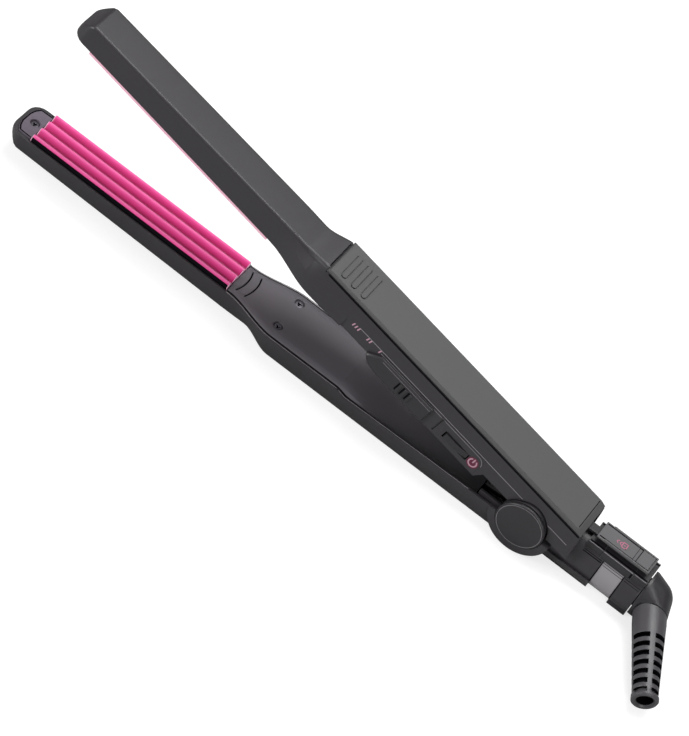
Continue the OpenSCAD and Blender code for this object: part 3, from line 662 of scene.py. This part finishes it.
def plate_finishes(tones, pitch):
    """The coating of the plates, with painted shade in its grooves and a painted highlight on its ridges, and
    a painted highlight on their ends.
    """
    # The coating's pale edges are partly a painted highlight.
    coating = finish(
        "Pink plate coating", tones.plate, 0.36, grain=0.12, bump=0.1, depth=0.01, rounding=0.1,
        spread=0.03, wear=0.2, worn=(0.92, 0.36, 0.55), specular=0.3, patches=9.0,
    )
    tints = (tuple(tones.plate_groove_shade), tuple(tones.plate_ridge_highlight), tuple(tones.plate_rim))
    return {
        "plate": ridge_light_and_shade(coating, pitch, *tints),
        # A painted highlight on the ends of the plates.
        "plate_end": finish(
            "Painted plate end highlight", (0.9, 0.5, 0.66), 0.5, grain=0.12, bump=0.1, rounding=0.02, wear=0.0
        ),
    }


def inner_finishes(tones):
    """Finishes of metal pieces and of what lies inside the housings."""
    return {
        "inner": finish("Inner moulding", tones.cap, 0.6, grain=0.4, rounding=0.1),
        "steel": finish(
            "Plain steel", (0.56, 0.56, 0.57), 0.34, metallic=1.0, grain=0.2, rounding=0.08, wear=0.1
        ),
        # The pale colour on the screws' edges is a painted glint round the recess and head.
        "screw": finish(
            "Blackened screw steel", (0.13, 0.12, 0.14), 0.34, metallic=0.6, grain=0.15, rounding=0.08,
            wear=0.8, worn=(0.6, 0.57, 0.64),
        ),
        "brass": finish("Plain brass", (0.75, 0.56, 0.25), 0.3, metallic=1.0, grain=0.2, rounding=0.08),
        "ceramic": finish("Heater ceramic", (0.78, 0.76, 0.71), 0.6, grain=0.2, bump=0.2, rounding=0.1),
        "wire": finish(
            "Glass sleeve", (0.03, 0.03, 0.032), 0.7, grain=0.25, bump=0.5, depth=0.05, rounding=0.05
        ),
        "board": finish("Lacquered board", (0.03, 0.16, 0.07), 0.3, grain=0.8, rounding=0.05, coat=0.5),
    }


def line_finishes(tones):
    """Finishes of printed signs, painted shade in seams and gaps, and painted highlights along edges."""
    return {
        "ink": line_finish("Mark ink", tones.mark, 0.5),
        "ground": line_finish("Mark ground", tones.mark_ground, 0.45),
        "sign": line_finish("Lock sign ink", tones.sign, 0.5),
        # Near-black painted shade for seams, gaps, recesses and slots.
        "painted_seam_shade": line_finish("Seam shadow", (0.004, 0.0035, 0.005), 0.9, specular=0.05),
        # A painted shade laid over the barrel's rounded upper corner, which also stands for the seam line
        # there.
        "crease": line_finish("Painted corner shade", (0.012, 0.011, 0.013), 0.8, specular=0.2),
        # Pale lines of painted highlight along edges.
        "rim_highlight": finish("Painted rim highlight", tones.rim_highlight_tone, 0.5, grain=0.2, bump=0.1, rounding=0.02, wear=0.0),
        "painted_highlight": finish("Painted edge highlight", tones.painted_highlight, 0.5, grain=0.2, bump=0.1, rounding=0.02, wear=0.0),
    }


def finishes():
    """Builds each finish once and keeps it by name."""
    if not FINISHES:
        tones, sizes, _ = settings()
        FINISHES.update(body_finishes(tones, sizes.rounding))
        FINISHES.update(plate_finishes(tones, sizes.wave_pitch))
        FINISHES.update(inner_finishes(tones))
        FINISHES.update(line_finishes(tones))
    return FINISHES


FINISH_NODES = {
    "shell": "lower_shell upper_shell control_panel neck_tube end_ring",
    "cover": "lower_inner_cover upper_inner_cover",
    "grip": "grip_cover",
    "cap": "near_hinge_cap far_hinge_cap lock_rail swivel_elbow",
    "ring": "lock_ring",
    "trim": "lock_slider",
    "tip": "lower_tip_cap upper_tip_cap",
    "rubber": "strain_relief",
    "button": "heat_slider power_rocker",
    "plate": "lower_plate upper_plate",
    "steel": "hinge_pin hinge_spring lock_catch lower_screws upper_screws",
    "brass": "contact_springs swivel_contacts",
    "ceramic": "lower_heater upper_heater",
    "wire": "lower_lead_wires upper_lead_wires",
    "board": "control_board",
    "inner": "lower_heater_carrier upper_heater_carrier contact_block slide_switch rocker_switch",
}
NODE_FINISHES = {node: look for look, nodes in FINISH_NODES.items() for node in nodes.split()}

# Radius of the rounded edges of each moulding that shows
ROUNDED = {
    "lower_shell": 0.22, "upper_shell": 0.22, "grip_cover": 0.2, "lower_inner_cover": 0.15,
    "upper_inner_cover": 0.15, "control_panel": 0.12, "near_hinge_cap": 0.1, "far_hinge_cap": 0.1,
    "neck_tube": 0.1, "lock_ring": 0.1, "end_ring": 0.12, "lock_rail": 0.2, "lock_slider": 0.14,
    "lower_tip_cap": 0.12, "upper_tip_cap": 0.12, "swivel_elbow": 0.0, "strain_relief": 0.12,
    "heat_slider": 0.12, "power_rocker": 0.12,
}


class CRIMPER_OT_finishes(bpy.types.Operator):
    """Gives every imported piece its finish"""

    bl_idname = "crimper.finishes"
    bl_label = "Finishes"

    def execute(self, context):
        looks = finishes()
        for node, look in NODE_FINISHES.items():
            materials = frame["nodes"][node].data.materials
            if len(materials) == 0:
                materials.append(looks[look])
            for i in range(len(materials)):
                materials[i] = looks[look]
        return {"FINISHED"}


# ---- mouldings


def under_slab(at):
    """Whether a point of the lock slider lies under its slab, on the stem or the bolt."""
    slab_floor = 21.9
    return at[:, 2] < slab_floor


def in_relief_slots(at):
    """Whether a point lies in a flex slot, which is well under the strain relief's tapered skin."""
    root = np.array([ELBOW_X, 0.0, COLLAR_HEIGHT])
    run = np.array([
        -math.cos(RELIEF_TILT),
        math.sin(RELIEF_TILT) * math.cos(RELIEF_TURN),
        math.sin(RELIEF_TILT) * math.sin(RELIEF_TURN),
    ])
    along = (at - root) @ run
    out = np.linalg.norm(np.cross(at - root, run), axis=1)
    skin = np.interp(along, [11.0, 40.6], [6.05, 4.6])
    return (out < skin - 0.45) & (along > 14.0) & (along < 40.0)


# The strain relief's flex slots get a painted shade, near black.
SECOND_FINISHES = {"lock_slider": ("cap", under_slab), "strain_relief": ("painted_seam_shade", in_relief_slots)}


class CRIMPER_OT_mouldings(bpy.types.Operator):
    """Rounds the edges of the visible mouldings"""

    bl_idname = "crimper.mouldings"
    bl_label = "Mouldings"

    def execute(self, context):
        looks = finishes()
        for node, bevel in ROUNDED.items():
            piece = fine_copy(node, looks[NODE_FINISHES[node]], bevel)
            settle(piece, frame["nodes"][node]["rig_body"], [node])
            if node in SECOND_FINISHES:
                look, chosen = SECOND_FINISHES[node]
                second_finish(piece, looks[look], chosen)
        return {"FINISHED"}


# ---- plates and screws


def plate_points(along, across, level, place):
    """Points over a plate, x along it and y across it, at a level for each of them."""
    x, y = np.meshgrid(along, across, indexing="ij")
    return place(np.stack([x, y, np.broadcast_to(level, x.shape)], -1))


def end_drop(along, start, end, radius):
    """How far a rounded end falls: the radius times the square of how deep a point lies in it."""
    near = np.minimum(along - start, end - along)
    return radius * np.clip(1 - near / radius, 0, 1) ** 2


def wave(across, height, pitch):
    """Height of the ridges across a plate: minus the cosine of y over the pitch."""
    return -height * np.cos(2 * math.pi * (across + RIDGE_SHIFT) / pitch)


def plate_stations():
    """Distances along a plate, close together at its rounded ends."""
    round_end = np.array([0, 0.06, 0.14, 0.25, 0.4])
    middle = np.linspace(PLATE_START + 1, PLATE_END - 1, 12)
    return np.concatenate([PLATE_START + round_end, middle, PLATE_END - round_end[::-1]])


# The step between the thick middle of a plate and its edges, and the points across the middle
STEP_INNER, STEP_OUTER = PLATE_BAR_HALF - 0.01, PLATE_BAR_HALF + 0.01
MIDDLE_POINTS = np.linspace(-STEP_INNER, STEP_INNER, 92)
END_RADIUS = 0.4


def is_plate_edge(at):
    """Faces of the lower plate's thin long edges, which get a painted shade."""
    inside_ends = (at[:, 0] > PLATE_START + 0.3) & (at[:, 0] < PLATE_END - 0.3)
    return (np.abs(at[:, 1]) > PLATE_BAR_HALF) & (at[:, 2] < PLATE_PLANE + 0.4) & inside_ends


def is_plate_end(at):
    """Faces of the lower plate's two ends, which get a painted highlight."""
    return (at[:, 0] < PLATE_START + 0.25) | (at[:, 0] > PLATE_END - 0.25)


def lower_crimp_plate(sizes, looks):
    """The lower plate: ridges above, rounded long edges and ends, and a thick bar under the middle."""
    half, edge_radius, edge_depth = PLATE_WIDTH / 2, 0.3, 1.35
    along = plate_stations()
    fall = end_drop(along, PLATE_START, PLATE_END, END_RADIUS)[:, None]
    edge_points = np.linspace(STEP_OUTER, half, 6)
    across = np.concatenate([-edge_points[::-1], MIDDLE_POINTS, edge_points])
    rounded = edge_radius * np.clip((np.abs(across) - half + edge_radius) / edge_radius, 0, 1) ** 2
    ridges = wave(across, sizes.wave_height, sizes.wave_pitch)
    backing = np.where(np.abs(across) > PLATE_BAR_HALF, -edge_depth, -PLATE_BAR_DEPTH)
    above = plate_points(along, across, ridges - rounded - fall, open_lower)
    below = plate_points(along, across, backing, open_lower)
    plate = paired_rows("lower_crimp_plate", above, below, looks["plate"])
    # Painted shade on the lower plate's long edges.
    second_finish(plate, looks["painted_seam_shade"], is_plate_edge)
    # Painted highlight on the plate's ends.
    second_finish(plate, looks["plate_end"], is_plate_end)
    settle(plate, "lower_arm", ["lower_plate"])


def upper_crimp_plate(sizes, looks):
    """The upper plate: its ridges lie in the lower plate's grooves, and a rim closes the barrel round it."""
    half, rim, edge_depth = PLATE_WIDTH / 2, PLATE_WIDTH / 2 + 0.9, 1.38
    along = plate_stations()
    fall = end_drop(along, PLATE_START, PLATE_END, END_RADIUS)[:, None]
    outer = np.array([rim, rim - 0.1, rim - 0.5, rim - 0.6, half])
    across = np.concatenate([-outer, [-STEP_OUTER], MIDDLE_POINTS, [STEP_OUTER], outer[::-1]])
    on_rim = np.abs(across) > half + 0.1
    rim_level = 0.15 + 0.1 * (np.abs(across) > rim - 0.05)
    ridges = PLATE_GAP + wave(across, sizes.wave_height, sizes.wave_pitch)
    facing = np.where(on_rim, rim_level, ridges)
    backing = np.where(np.abs(across) > PLATE_BAR_HALF, edge_depth, PLATE_BAR_DEPTH)
    above = plate_points(along, across, backing, open_upper)
    below = plate_points(along, across, facing + fall * ~on_rim, open_upper)
    plate = paired_rows("upper_crimp_plate", above, below, looks["plate"])
    settle(plate, "upper_arm", ["upper_plate"])


class CRIMPER_OT_plates(bpy.types.Operator):
    """Corrugated plates with rounded ends and edges"""

    bl_idname = "crimper.plates"
    bl_label = "Plates"

    def execute(self, context):
        _, sizes, _ = settings()
        lower_crimp_plate(sizes, finishes())
        upper_crimp_plate(sizes, finishes())
        return {"FINISHED"}


SCREW_SIDES, SCREW_RINGS = 48, 13


def screw_rings(centre, length, facing, place):
    """Rings of a screw with a three-sided recess, from the recess floor out over the head and down the shank.

    The recess wall has the radius a + b cos 3t round the axis.
    """
    recess_turn = 0.5
    t = np.linspace(0, 2 * math.pi, SCREW_SIDES, endpoint=False)
    lobe = 0.68 + 0.3 * np.cos(3 * (t + recess_turn))
    even = np.ones_like(t)
    profile = [
        (0.3 * lobe, -0.62), (0.85 * lobe, -0.62), (0.96 * lobe, -0.5), (lobe, -0.06), (lobe + 0.06, 0.0),
        (1.25 * even, 0.0), (1.6 * even, -0.06), (1.75 * even, -0.16), (1.8 * even, -0.3),
        (1.8 * even, -0.68), (0.88 * even, -0.7), (0.88 * even, -length), (0.5 * even, -length - 0.4),
    ]
    rings = [
        np.stack([r * np.cos(t), r * np.sin(t), np.full_like(t, facing * level)], -1) for r, level in profile
    ]
    return place(np.asarray(rings) + centre)


def in_screw_recess(at):
    """Faces of the recess, which get a painted shade: the first three rows of each screw, and the fan over
    its first ring.
    """
    first_fan = SCREW_RINGS - 1
    row = np.arange(len(at)) // SCREW_SIDES % (SCREW_RINGS + 1)
    return (row < 3) | (row == first_fan)


class CRIMPER_OT_screws(bpy.types.Operator):
    """Dark screws with three-sided recesses"""

    bl_idname = "crimper.screws"
    bl_label = "Screws"

    def execute(self, context):
        looks = finishes()
        cover_screw_y = 7.5
        tip_seat = (TIP_SCREW, 0.0, 1.7, 4.6)
        cover_seats = [(COVER_SCREW, side * cover_screw_y, 1.05, 5.6) for side, _ in SIDES]
        for arm, place, facing in (("lower", open_lower, 1), ("upper", open_upper, -1)):
            turnings = [
                screw_rings(np.array([x, y, -facing * deep]), length, facing, place)
                for x, y, deep, length in (tip_seat, *cover_seats)
            ]
            piece = revolved(arm + "_lobed_screws", turnings, looks["screw"])
            # Painted shade in the screw recesses.
            second_finish(piece, looks["painted_seam_shade"], in_screw_recess)
            settle(piece, arm + "_arm", [arm + "_screws"])
        return {"FINISHED"}


# ---- printed signs


def lay(name, skin, grid, towards, look, proud=HAIRLINE, body="lower_arm"):
    """A thin mark of a finish, laid on a skin from a grid in metres and settled on its body."""
    return settle(thin_mark(name, skin, grid, towards, proud, finishes()[look]), body)


def lay_at_side(name, skin, grid, look, proud=HAIRLINE, body="upper_arm"):
    """A mark on the near side of the upper arm, from a grid on the closed arm."""
    return lay(name, skin, open_upper(grid), INTO_SIDE, look, proud, body)


def lay_from_above(name, skin, grid, look, proud=HAIRLINE, body="lower_arm"):
    """A mark laid on from straight above, from a grid on the opened tool."""
    return lay(name, skin, grid * MM, DOWN, look, proud, body)


def heat_marks(side, ink):
    """One, two and three strokes over the slider, each leaning towards the hinge."""
    step, lean = 1.25, 0.15
    for count, middle in ((3, 89.1), (2, 82.6), (1, 77.3)):
        for k in range(count):
            x = middle + (k - (count - 1) / 2) * step
            line = beside(np.linspace(x + lean, x - lean, 5), np.linspace(5.5, 7.0, 5))
            lay_at_side(f"heat_mark_{count}_{k}", side, band(line, 0.5, ALONG), "ink", ink)


def power_sign(side, ink):
    """A ring open at the top with an upright stroke, on a darker round ground."""
    x, z = 27.3, 2.2
    centre = beside(x, z)
    turn = spokes(0, 360, 49)
    ground = np.stack([centre + radius * turn for radius in (0.02, 1.2, 2.35)], 1)
    lay_at_side("power_ground", side, ground, "ground", ink * 0.5)
    turn = spokes(122, 418, 40)
    ring = np.stack([centre + radius * turn for radius in (1.3, 1.85)], 1)
    lay_at_side("power_ring", side, ring, "ink", ink)
    stem = beside(x, np.linspace(z, 4.1, 6))
    lay_at_side("power_stem", side, band(stem, 0.55, ALONG), "ink", ink)


def lock_sign(ink):
    """A plain padlock with a keyhole, and an arrow head that shows the way to close it."""
    slab = skin_of("lock_slider")
    x, y = -33.1, 0.35
    half_long, half_wide = 0.9, 1.2

    def stroke(name, grid):
        lay_from_above(name, slab, grid, "sign", ink, "arm_lock")

    corners = [(x - half_long, y - half_wide), (x + half_long, y - half_wide)]
    corners += [(x + half_long, y + half_wide), (x - half_long, y + half_wide)]
    for k in range(4):
        start, end = np.array(corners[k]), np.array(corners[(k + 1) % 4])
        run = (end - start) / np.linalg.norm(end - start)
        line = np.linspace(start - 0.18 * run, end + 0.18 * run, 5)
        stroke(f"lock_sign_body_{k}", band(over(line[:, 0], line[:, 1]), 0.36, (-run[1], run[0], 0)))
    middle, turn = over(x + 1.15, y), spokes(-90, 90, 14, flat=True)
    stroke("lock_sign_shackle", np.stack([middle + 0.52 * turn, middle + 0.86 * turn], 1))
    stroke("lock_sign_keyhole", band(over([x - 0.3, x + 0.3], y), 0.4, ACROSS))
    for k, (side, _) in enumerate(SIDES):
        dart = over([x + 3.3, x + 2.5], [y, y + side * 0.8])
        stroke(f"lock_sign_dart_{k}", band(dart, 0.3, (0.7, side * 0.7, 0)))


class CRIMPER_OT_marks(bpy.types.Operator):
    """Printed heat marks, power sign and lock sign"""

    bl_idname = "crimper.marks"
    bl_label = "Marks"

    def execute(self, context):
        _, sizes, _ = settings()
        side = skin_of("upper_shell", "control_panel")
        heat_marks(side, sizes.ink)
        power_sign(side, sizes.ink)
        lock_sign(sizes.ink)
        return {"FINISHED"}


# ---- fine lines


def barrel_lines(shell):
    """Painted shade over the upper corner of the barrel, where a dark seam line shows, and a painted shadow
    in the gap under the grip cover's edge.
    """
    x = np.linspace(223.0, 110.8, 90)
    rise = ease(x, RISE_TIP, RISE_ROOT)
    depth = BARREL_DEPTH - TIP_DEPTH_LOSS * np.clip((x - PLATE_START) / (TIP_REACH - PLATE_START), 0, 1)
    corner_y = BARREL_FACE_HALF + (COVER_FACE_HALF - BARREL_FACE_HALF) * rise
    corner_z = depth + (COVER_HEIGHT - depth) * rise
    outside, shift = 20.0, 0.15
    line = np.stack([x, corner_y + outside - shift, corner_z + outside + shift], -1)
    slanted = (0, 0.7071, -0.7071)
    grid = open_upper(band(line, 0.95, slanted))
    lay("barrel_seam_shade", shell, grid, upper_way(0, -1, -1), "crease", body="upper_arm")

    line = beside(np.linspace(110.3, -16.3, 60), 11.85)
    lay_at_side("cover_gap_shadow", shell, band(line, 0.6, UP), "painted_seam_shade")


def groove_lines():
    """Two curved grooves across the front of the lower inner cover, drawn as lines of painted shade."""
    inner = skin_of("lower_inner_cover")
    turn = spokes(200.8, 159.2, 30, flat=True)
    for number, ahead in enumerate((13.2, 9.4)):
        centre = np.array([PLATE_START + ahead, 0.0, 40.0])
        grid = open_lower(np.stack([centre + 16.65 * turn, centre + 17.15 * turn], 1))
        lay(f"cover_groove_{number}", inner, grid, DOWN, "painted_seam_shade")


def crease_line(shell):
    """A painted highlight along the crease of the upper handle's side."""
    line = beside(np.linspace(88.0, -15.5, 90), CREASE_LEVEL)
    lay_at_side("crease_bead", shell, band(line, 0.24, UP), "painted_highlight", 0.05)


def slider_lines():
    """Painted shade between the thumb bars of the heat slider, and a painted highlight along its upper edge.
    """
    slider = skin_of("heat_slider")

    def strip(name, line, width, turned, look, proud):
        lay_at_side(name, slider, band(line, width, turned), look, proud, "heat_control")

    for number in range(3):
        line = beside(59.85 + 2.4 * number, np.linspace(0.9, 4.6, 12))
        strip(f"slider_shade_stroke_{number}", line, 0.65, ALONG, "painted_seam_shade", HAIRLINE)
    strip("slider_edge_highlight", beside(np.linspace(50.6, 74.0, 40), 5.35), 0.16, UP, "painted_highlight", 0.02)


def slab_lines():
    """Lines of painted shade inside the lock slider's raised border and round its pad: start, end and width
    of each.
    """
    slab = skin_of("lock_slider")
    strips = (
        ((-24.0, -3.4), (-44.6, -3.4), 0.56),
        ((-24.0, 3.4), (-44.6, 3.4), 0.56),
        ((-37.9, -3.5), (-37.9, 3.5), 0.18),
        ((-39.2, -3.45), (-39.2, 3.45), 0.26),
        ((-39.2, -3.3), (-44.9, -3.3), 0.3),
        ((-39.2, 3.3), (-44.9, 3.3), 0.3),
        ((-44.8, -3.4), (-44.8, 3.4), 0.3),
    )
    for number, (start, end, width) in enumerate(strips):
        points = np.linspace(start, end, 24)
        run = (points[-1] - points[0]) / np.linalg.norm(points[-1] - points[0])
        grid = band(over(points[:, 0], points[:, 1]), width, (-run[1], run[0], 0))
        lay_from_above(f"slab_shade_line_{number}", slab, grid, "painted_seam_shade", HAIRLINE, "arm_lock")


def cover_end_lines():
    """Painted shade in the gap in front of the grip cover and in a line near its rear end."""
    inward = upper_way(0, 0, -1)
    line = over(110.65, np.linspace(-8.6, 9.0, 24))
    grid = open_upper(band(line, 0.4, ALONG))
    lay("cover_front_gap", skin_of("upper_shell"), grid, inward, "painted_seam_shade", body="upper_arm")
    line = over(-13.6, np.linspace(-8.2, 8.9, 24))
    grid = open_upper(band(line, 0.3, ALONG))
    lay("cover_rear_line", skin_of("grip_cover"), grid, inward, "painted_seam_shade", body="upper_arm")


def rim_lines():
    """Painted shade in the gap between the lower shell's rim and the inner cover, and a painted highlight
    along the rim's edge outside it.
    """
    x = np.concatenate([np.linspace(131.5, 108.0, 40), np.linspace(107.0, 22.0, 60)])
    flare = ease(x, FLARE_TIP, FLARE_ROOT)
    handle_half = np.interp(x, [10, FLARE_ROOT], [13.3, 13.7])
    rim_wall = 0.9 + 0.2 * flare
    edge = BARREL_HALF + (handle_half - BARREL_HALF) * flare - rim_wall
    both = skin_of("lower_shell", "lower_inner_cover")
    for side, word in SIDES:
        grid = band(over(x, side * edge), 0.5, ACROSS)
        lay_from_above(f"rim_gap_{word}", both, grid, "painted_seam_shade")
        grid = band(over(x, side * (edge + 0.72)), 0.24, ACROSS)
        lay_from_above(f"rim_edge_highlight_{word}", both, grid, "rim_highlight", 0.02)


def tip_border():
    """Painted shade in a line just inside the edge of the lower tip insert."""
    rear, near_half = 220.4, [(7.4, 220.4), (7.2, 225.7), (5.2, 226.9), (2.6, 227.6)]
    corners = [(x, -y) for y, x in near_half] + [(x, y) for y, x in reversed(near_half)]
    corners = np.array(corners)
    steps = np.linspace(0, len(corners) - 1, 57)
    line = np.stack([np.interp(steps, np.arange(len(corners)), corners[:, k]) for k in (0, 1)], -1)
    middle = np.array([rear, 0.0])
    rings = [middle + (line - middle) * scale for scale in (0.91, 0.985)]
    grid = np.stack([over(ring[:, 0], ring[:, 1]) for ring in rings], 1)
    lay_from_above("tip_border", skin_of("lower_tip_cap"), grid, "painted_seam_shade")


def plate_gaps():
    """Painted shadow in the gaps beside the lower plate."""
    base = skin_of("lower_shell")
    for side, word in SIDES:
        line = over(np.linspace(131.6, 221.5, 60), side * 8.32)
        lay_from_above(f"plate_gap_{word}", base, band(line, 0.6, ACROSS), "painted_seam_shade")


def disc_lines():
    """A painted highlight round the near hinge disc and painted shade at its very edge."""
    disc = skin_of("near_hinge_cap")
    hub, turn = np.array([0.0, 40.0, HINGE_HEIGHT]), spokes(0, 360, 97)
    for name, inner, outer, look, proud in (
        ("disc_rim_highlight", 8.75, 8.95, "painted_highlight", 0.02),
        ("disc_edge_shadow", 9.1, 9.38, "painted_seam_shade", HAIRLINE),
    ):
        grid = np.stack([hub + inner * turn, hub + outer * turn], 1) * MM
        lay(name, disc, grid, INTO_SIDE, look, proud)


def collar_joints():
    """Thin rings of painted shade where the neck tube, the lock ring and the end ring meet."""
    half_wide, bore, outside = 0.17, 8.0, COLLAR_RADIUS + 0.03
    t = np.linspace(0, 2 * math.pi, 97)[:-1]
    section = ((-half_wide, bore), (-half_wide, outside), (half_wide, outside), (half_wide, bore))
    for number, x in enumerate(RING_JOINTS):
        rings = [
            np.stack([np.full_like(t, x + dx), r * np.cos(t), COLLAR_HEIGHT + r * np.sin(t)], -1) * MM
            for dx, r in section
        ]
        piece = revolved(f"collar_joint_{number}", [rings], finishes()["painted_seam_shade"])
        settle(piece, "lower_arm")


def rail_lines():
    """Painted shade at the foot of the lock rail, painted highlights along its three steps, painted shade
    beside the slab, and in its notches.
    """
    collar = skin_of("neck_tube", "lock_ring", "end_ring")
    foot = over(np.linspace(-22.3, -46.6, 60), 6.6)
    lay_from_above("rail_shadow", collar, band(foot, 0.7, ACROSS), "painted_seam_shade")

    rail = skin_of("lock_rail")
    steps = ((-22.4, -28.1, 5.5), (-28.8, -41.1, 5.9), (-41.9, -46.7, 5.65))
    for number, (first, last, edge) in enumerate(steps):
        for side, word in SIDES:
            line = over(np.linspace(first, last, 12), side * edge)
            lay_from_above(f"rail_edge_highlight_{number}_{word}", rail, band(line, 0.26, ACROSS), "painted_highlight", 0.02)
    for side, word in SIDES:
        line = over(np.linspace(-22.4, -46.8, 60), side * 4.85)
        lay_from_above(f"slab_shadow_{word}", rail, band(line, 0.85, ACROSS), "painted_seam_shade")

    for row, x in enumerate((-28.7, -40.9)):
        for k, (side, _) in enumerate(SIDES):
            line = np.stack([np.full(8, x), np.full(8, side * BESIDE), np.linspace(17.2, 19.6, 8)], -1)
            lay(f"rail_notch_{2 * row + k}", rail, band(line, 0.7, ALONG) * MM, (0, -side, 0), "painted_seam_shade")


def panel_border(shell):
    """A painted highlight along the upper edge of the control panel, which bends down behind the power sign.
    """
    bend_x, bend_z, radius = 27.5, 2.8, 3.2
    straight = beside(np.linspace(76.5, bend_x, 40), bend_z + radius)
    bend = np.array([bend_x, BESIDE, bend_z]) + radius * spokes(90, 170, 12)[1:]
    line = np.concatenate([straight, bend])
    run = np.gradient(line, axis=0)
    across = np.stack([-run[:, 2], np.zeros(len(run)), run[:, 0]], -1)
    across /= np.linalg.norm(across, axis=1)[:, None]
    lay_at_side("panel_border", shell, band(line, 0.22, across), "painted_highlight", 0.04)


class CRIMPER_OT_lines(bpy.types.Operator):
    """Fine lines of the mouldings: painted shade in seams, gaps and steps, and painted highlights along edges
    """

    bl_idname = "crimper.lines"
    bl_label = "Lines"

    def execute(self, context):
        shell = skin_of("upper_shell", "control_panel")
        barrel_lines(shell)
        groove_lines()
        crease_line(shell)
        slider_lines()
        slab_lines()
        cover_end_lines()
        rim_lines()
        tip_border()
        plate_gaps()
        disc_lines()
        collar_joints()
        rail_lines()
        panel_border(shell)
        return {"FINISHED"}


# ---- stage


def studio_camera(scene):
    """The camera: a long lens a little above the tool, turned so that the arms run up to the left."""
    lens = bpy.data.cameras.new("Camera")
    lens.sensor_width = 36.0
    lens.lens = 173.05
    lens.clip_start, lens.clip_end = 0.05, 20.0
    camera = bpy.data.objects.new("Camera", lens)
    scene.collection.objects.link(camera)
    right = np.array([-0.7922, -0.4935, 0.3590])
    down = np.array([-0.6012, 0.5299, -0.5981])
    into = np.array([0.1049, -0.6896, -0.7165])
    hinge = np.array([0.0, 0.0, HINGE_HEIGHT])
    hinge_right, hinge_down, distance = 67.18, 47.35, 1232.9
    eye = hinge - hinge_right * right - hinge_down * down - distance * into
    right, down = Vector(right).normalized(), Vector(down).normalized()
    turn = Matrix((right, -down, right.cross(-down))).transposed()
    camera.matrix_world = Matrix.Translation(Vector(eye * MM)) @ turn.to_4x4()
    scene.camera = camera


def pale_floor(size, glow):
    """A square floor that looks brighter to the camera than it lights the tool."""
    material = bpy.data.materials.new("Pale floor")
    material.use_nodes = True
    tree = material.node_tree
    shader = tree.nodes["Principled BSDF"]
    shader.inputs["Base Color"].default_value = (0.4, 0.4, 0.4, 1.0)
    shader.inputs["Roughness"].default_value = 0.9
    shader.inputs["Specular IOR Level"].default_value = 0.0
    shader.inputs["Emission Color"].default_value = (1.0, 1.0, 1.0, 1.0)
    path = tree.nodes.new("ShaderNodeLightPath")
    tree.links.new(
        maths(tree, "MULTIPLY", path.outputs["Is Camera Ray"], glow), shader.inputs["Emission Strength"]
    )
    half = size / 2
    corners = [[-half, -half, 0], [half, -half, 0], [half, half, 0], [-half, half, 0]]
    mesh_object("Floor", corners, [[0, 1, 2, 3]], material)


def surrounding_white(scene, strength):
    """An even white all round."""
    world = scene.world or bpy.data.worlds.new("Studio")
    scene.world = world
    world.use_nodes = True
    sky = world.node_tree.nodes["Background"]
    sky.inputs["Color"].default_value = (1.0, 1.0, 1.0, 1.0)
    sky.inputs["Strength"].default_value = strength


def soft_light(name, place, size, power):
    """A rectangular light that faces the middle of the tool; its place and size are metres."""
    light = bpy.data.lights.new(name, "AREA")
    light.shape = "RECTANGLE"
    light.size, light.size_y = size
    light.energy = power
    lamp = bpy.data.objects.new(name, light)
    bpy.context.scene.collection.objects.link(lamp)
    lamp.location = place
    aim = Vector((0.09, 0.0, 0.03)) - Vector(place)
    lamp.rotation_euler = aim.to_track_quat("-Z", "Y").to_euler()


class CRIMPER_OT_stage(bpy.types.Operator):
    """Camera, floor and soft light"""

    bl_idname = "crimper.stage"
    bl_label = "Stage"

    def execute(self, context):
        _, _, stage = settings()
        studio_camera(context.scene)
        context.scene.view_settings.view_transform = "Standard"
        pale_floor(stage.floor_size, stage.floor_glow)
        surrounding_white(context.scene, stage.ambient)
        soft_light("Overhead", (0.05, -0.25, 0.95), (0.7, 0.6), stage.overhead_power)
        soft_light("Tip side", (1.0, 0.75, 0.55), (0.5, 0.5), stage.tip_power)
        soft_light("Cord side", (-0.75, 0.85, 0.5), (0.4, 0.4), stage.cord_power)
        return {"FINISHED"}


# ---- add-on


class CRIMPER_PT_panel(bpy.types.Panel):
    bl_label = "Hair crimper"
    bl_idname = "CRIMPER_PT_panel"
    bl_space_type = "VIEW_3D"
    bl_region_type = "UI"
    bl_category = "Crimper"

    def draw(self, context):
        for operator in OPERATORS:
            self.layout.operator(operator.bl_idname)
        for group in settings():
            for name in group.__annotations__:
                self.layout.prop(group, name)


# The order in which the operators run
OPERATORS = (
    CRIMPER_OT_stage,
    CRIMPER_OT_finishes,
    CRIMPER_OT_mouldings,
    CRIMPER_OT_plates,
    CRIMPER_OT_screws,
    CRIMPER_OT_marks,
    CRIMPER_OT_lines,
)
CLASSES = (CrimperFinishes, CrimperSizes, CrimperStage, *OPERATORS, CRIMPER_PT_panel)


def register():
    for kind in CLASSES:
        bpy.utils.register_class(kind)
    bpy.types.Scene.crimper_finishes = PointerProperty(type=CrimperFinishes)
    bpy.types.Scene.crimper_sizes = PointerProperty(type=CrimperSizes)
    bpy.types.Scene.crimper_stage = PointerProperty(type=CrimperStage)


def unregister():
    del bpy.types.Scene.crimper_stage
    del bpy.types.Scene.crimper_sizes
    del bpy.types.Scene.crimper_finishes
    for kind in reversed(CLASSES):
        bpy.utils.unregister_class(kind)


def main():
    """Registers the add-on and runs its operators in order."""
    register()
    for operator in OPERATORS:
        group, name = operator.bl_idname.split(".")
        getattr(getattr(bpy.ops, group), name)()


if __name__ == "__main__":
    main()
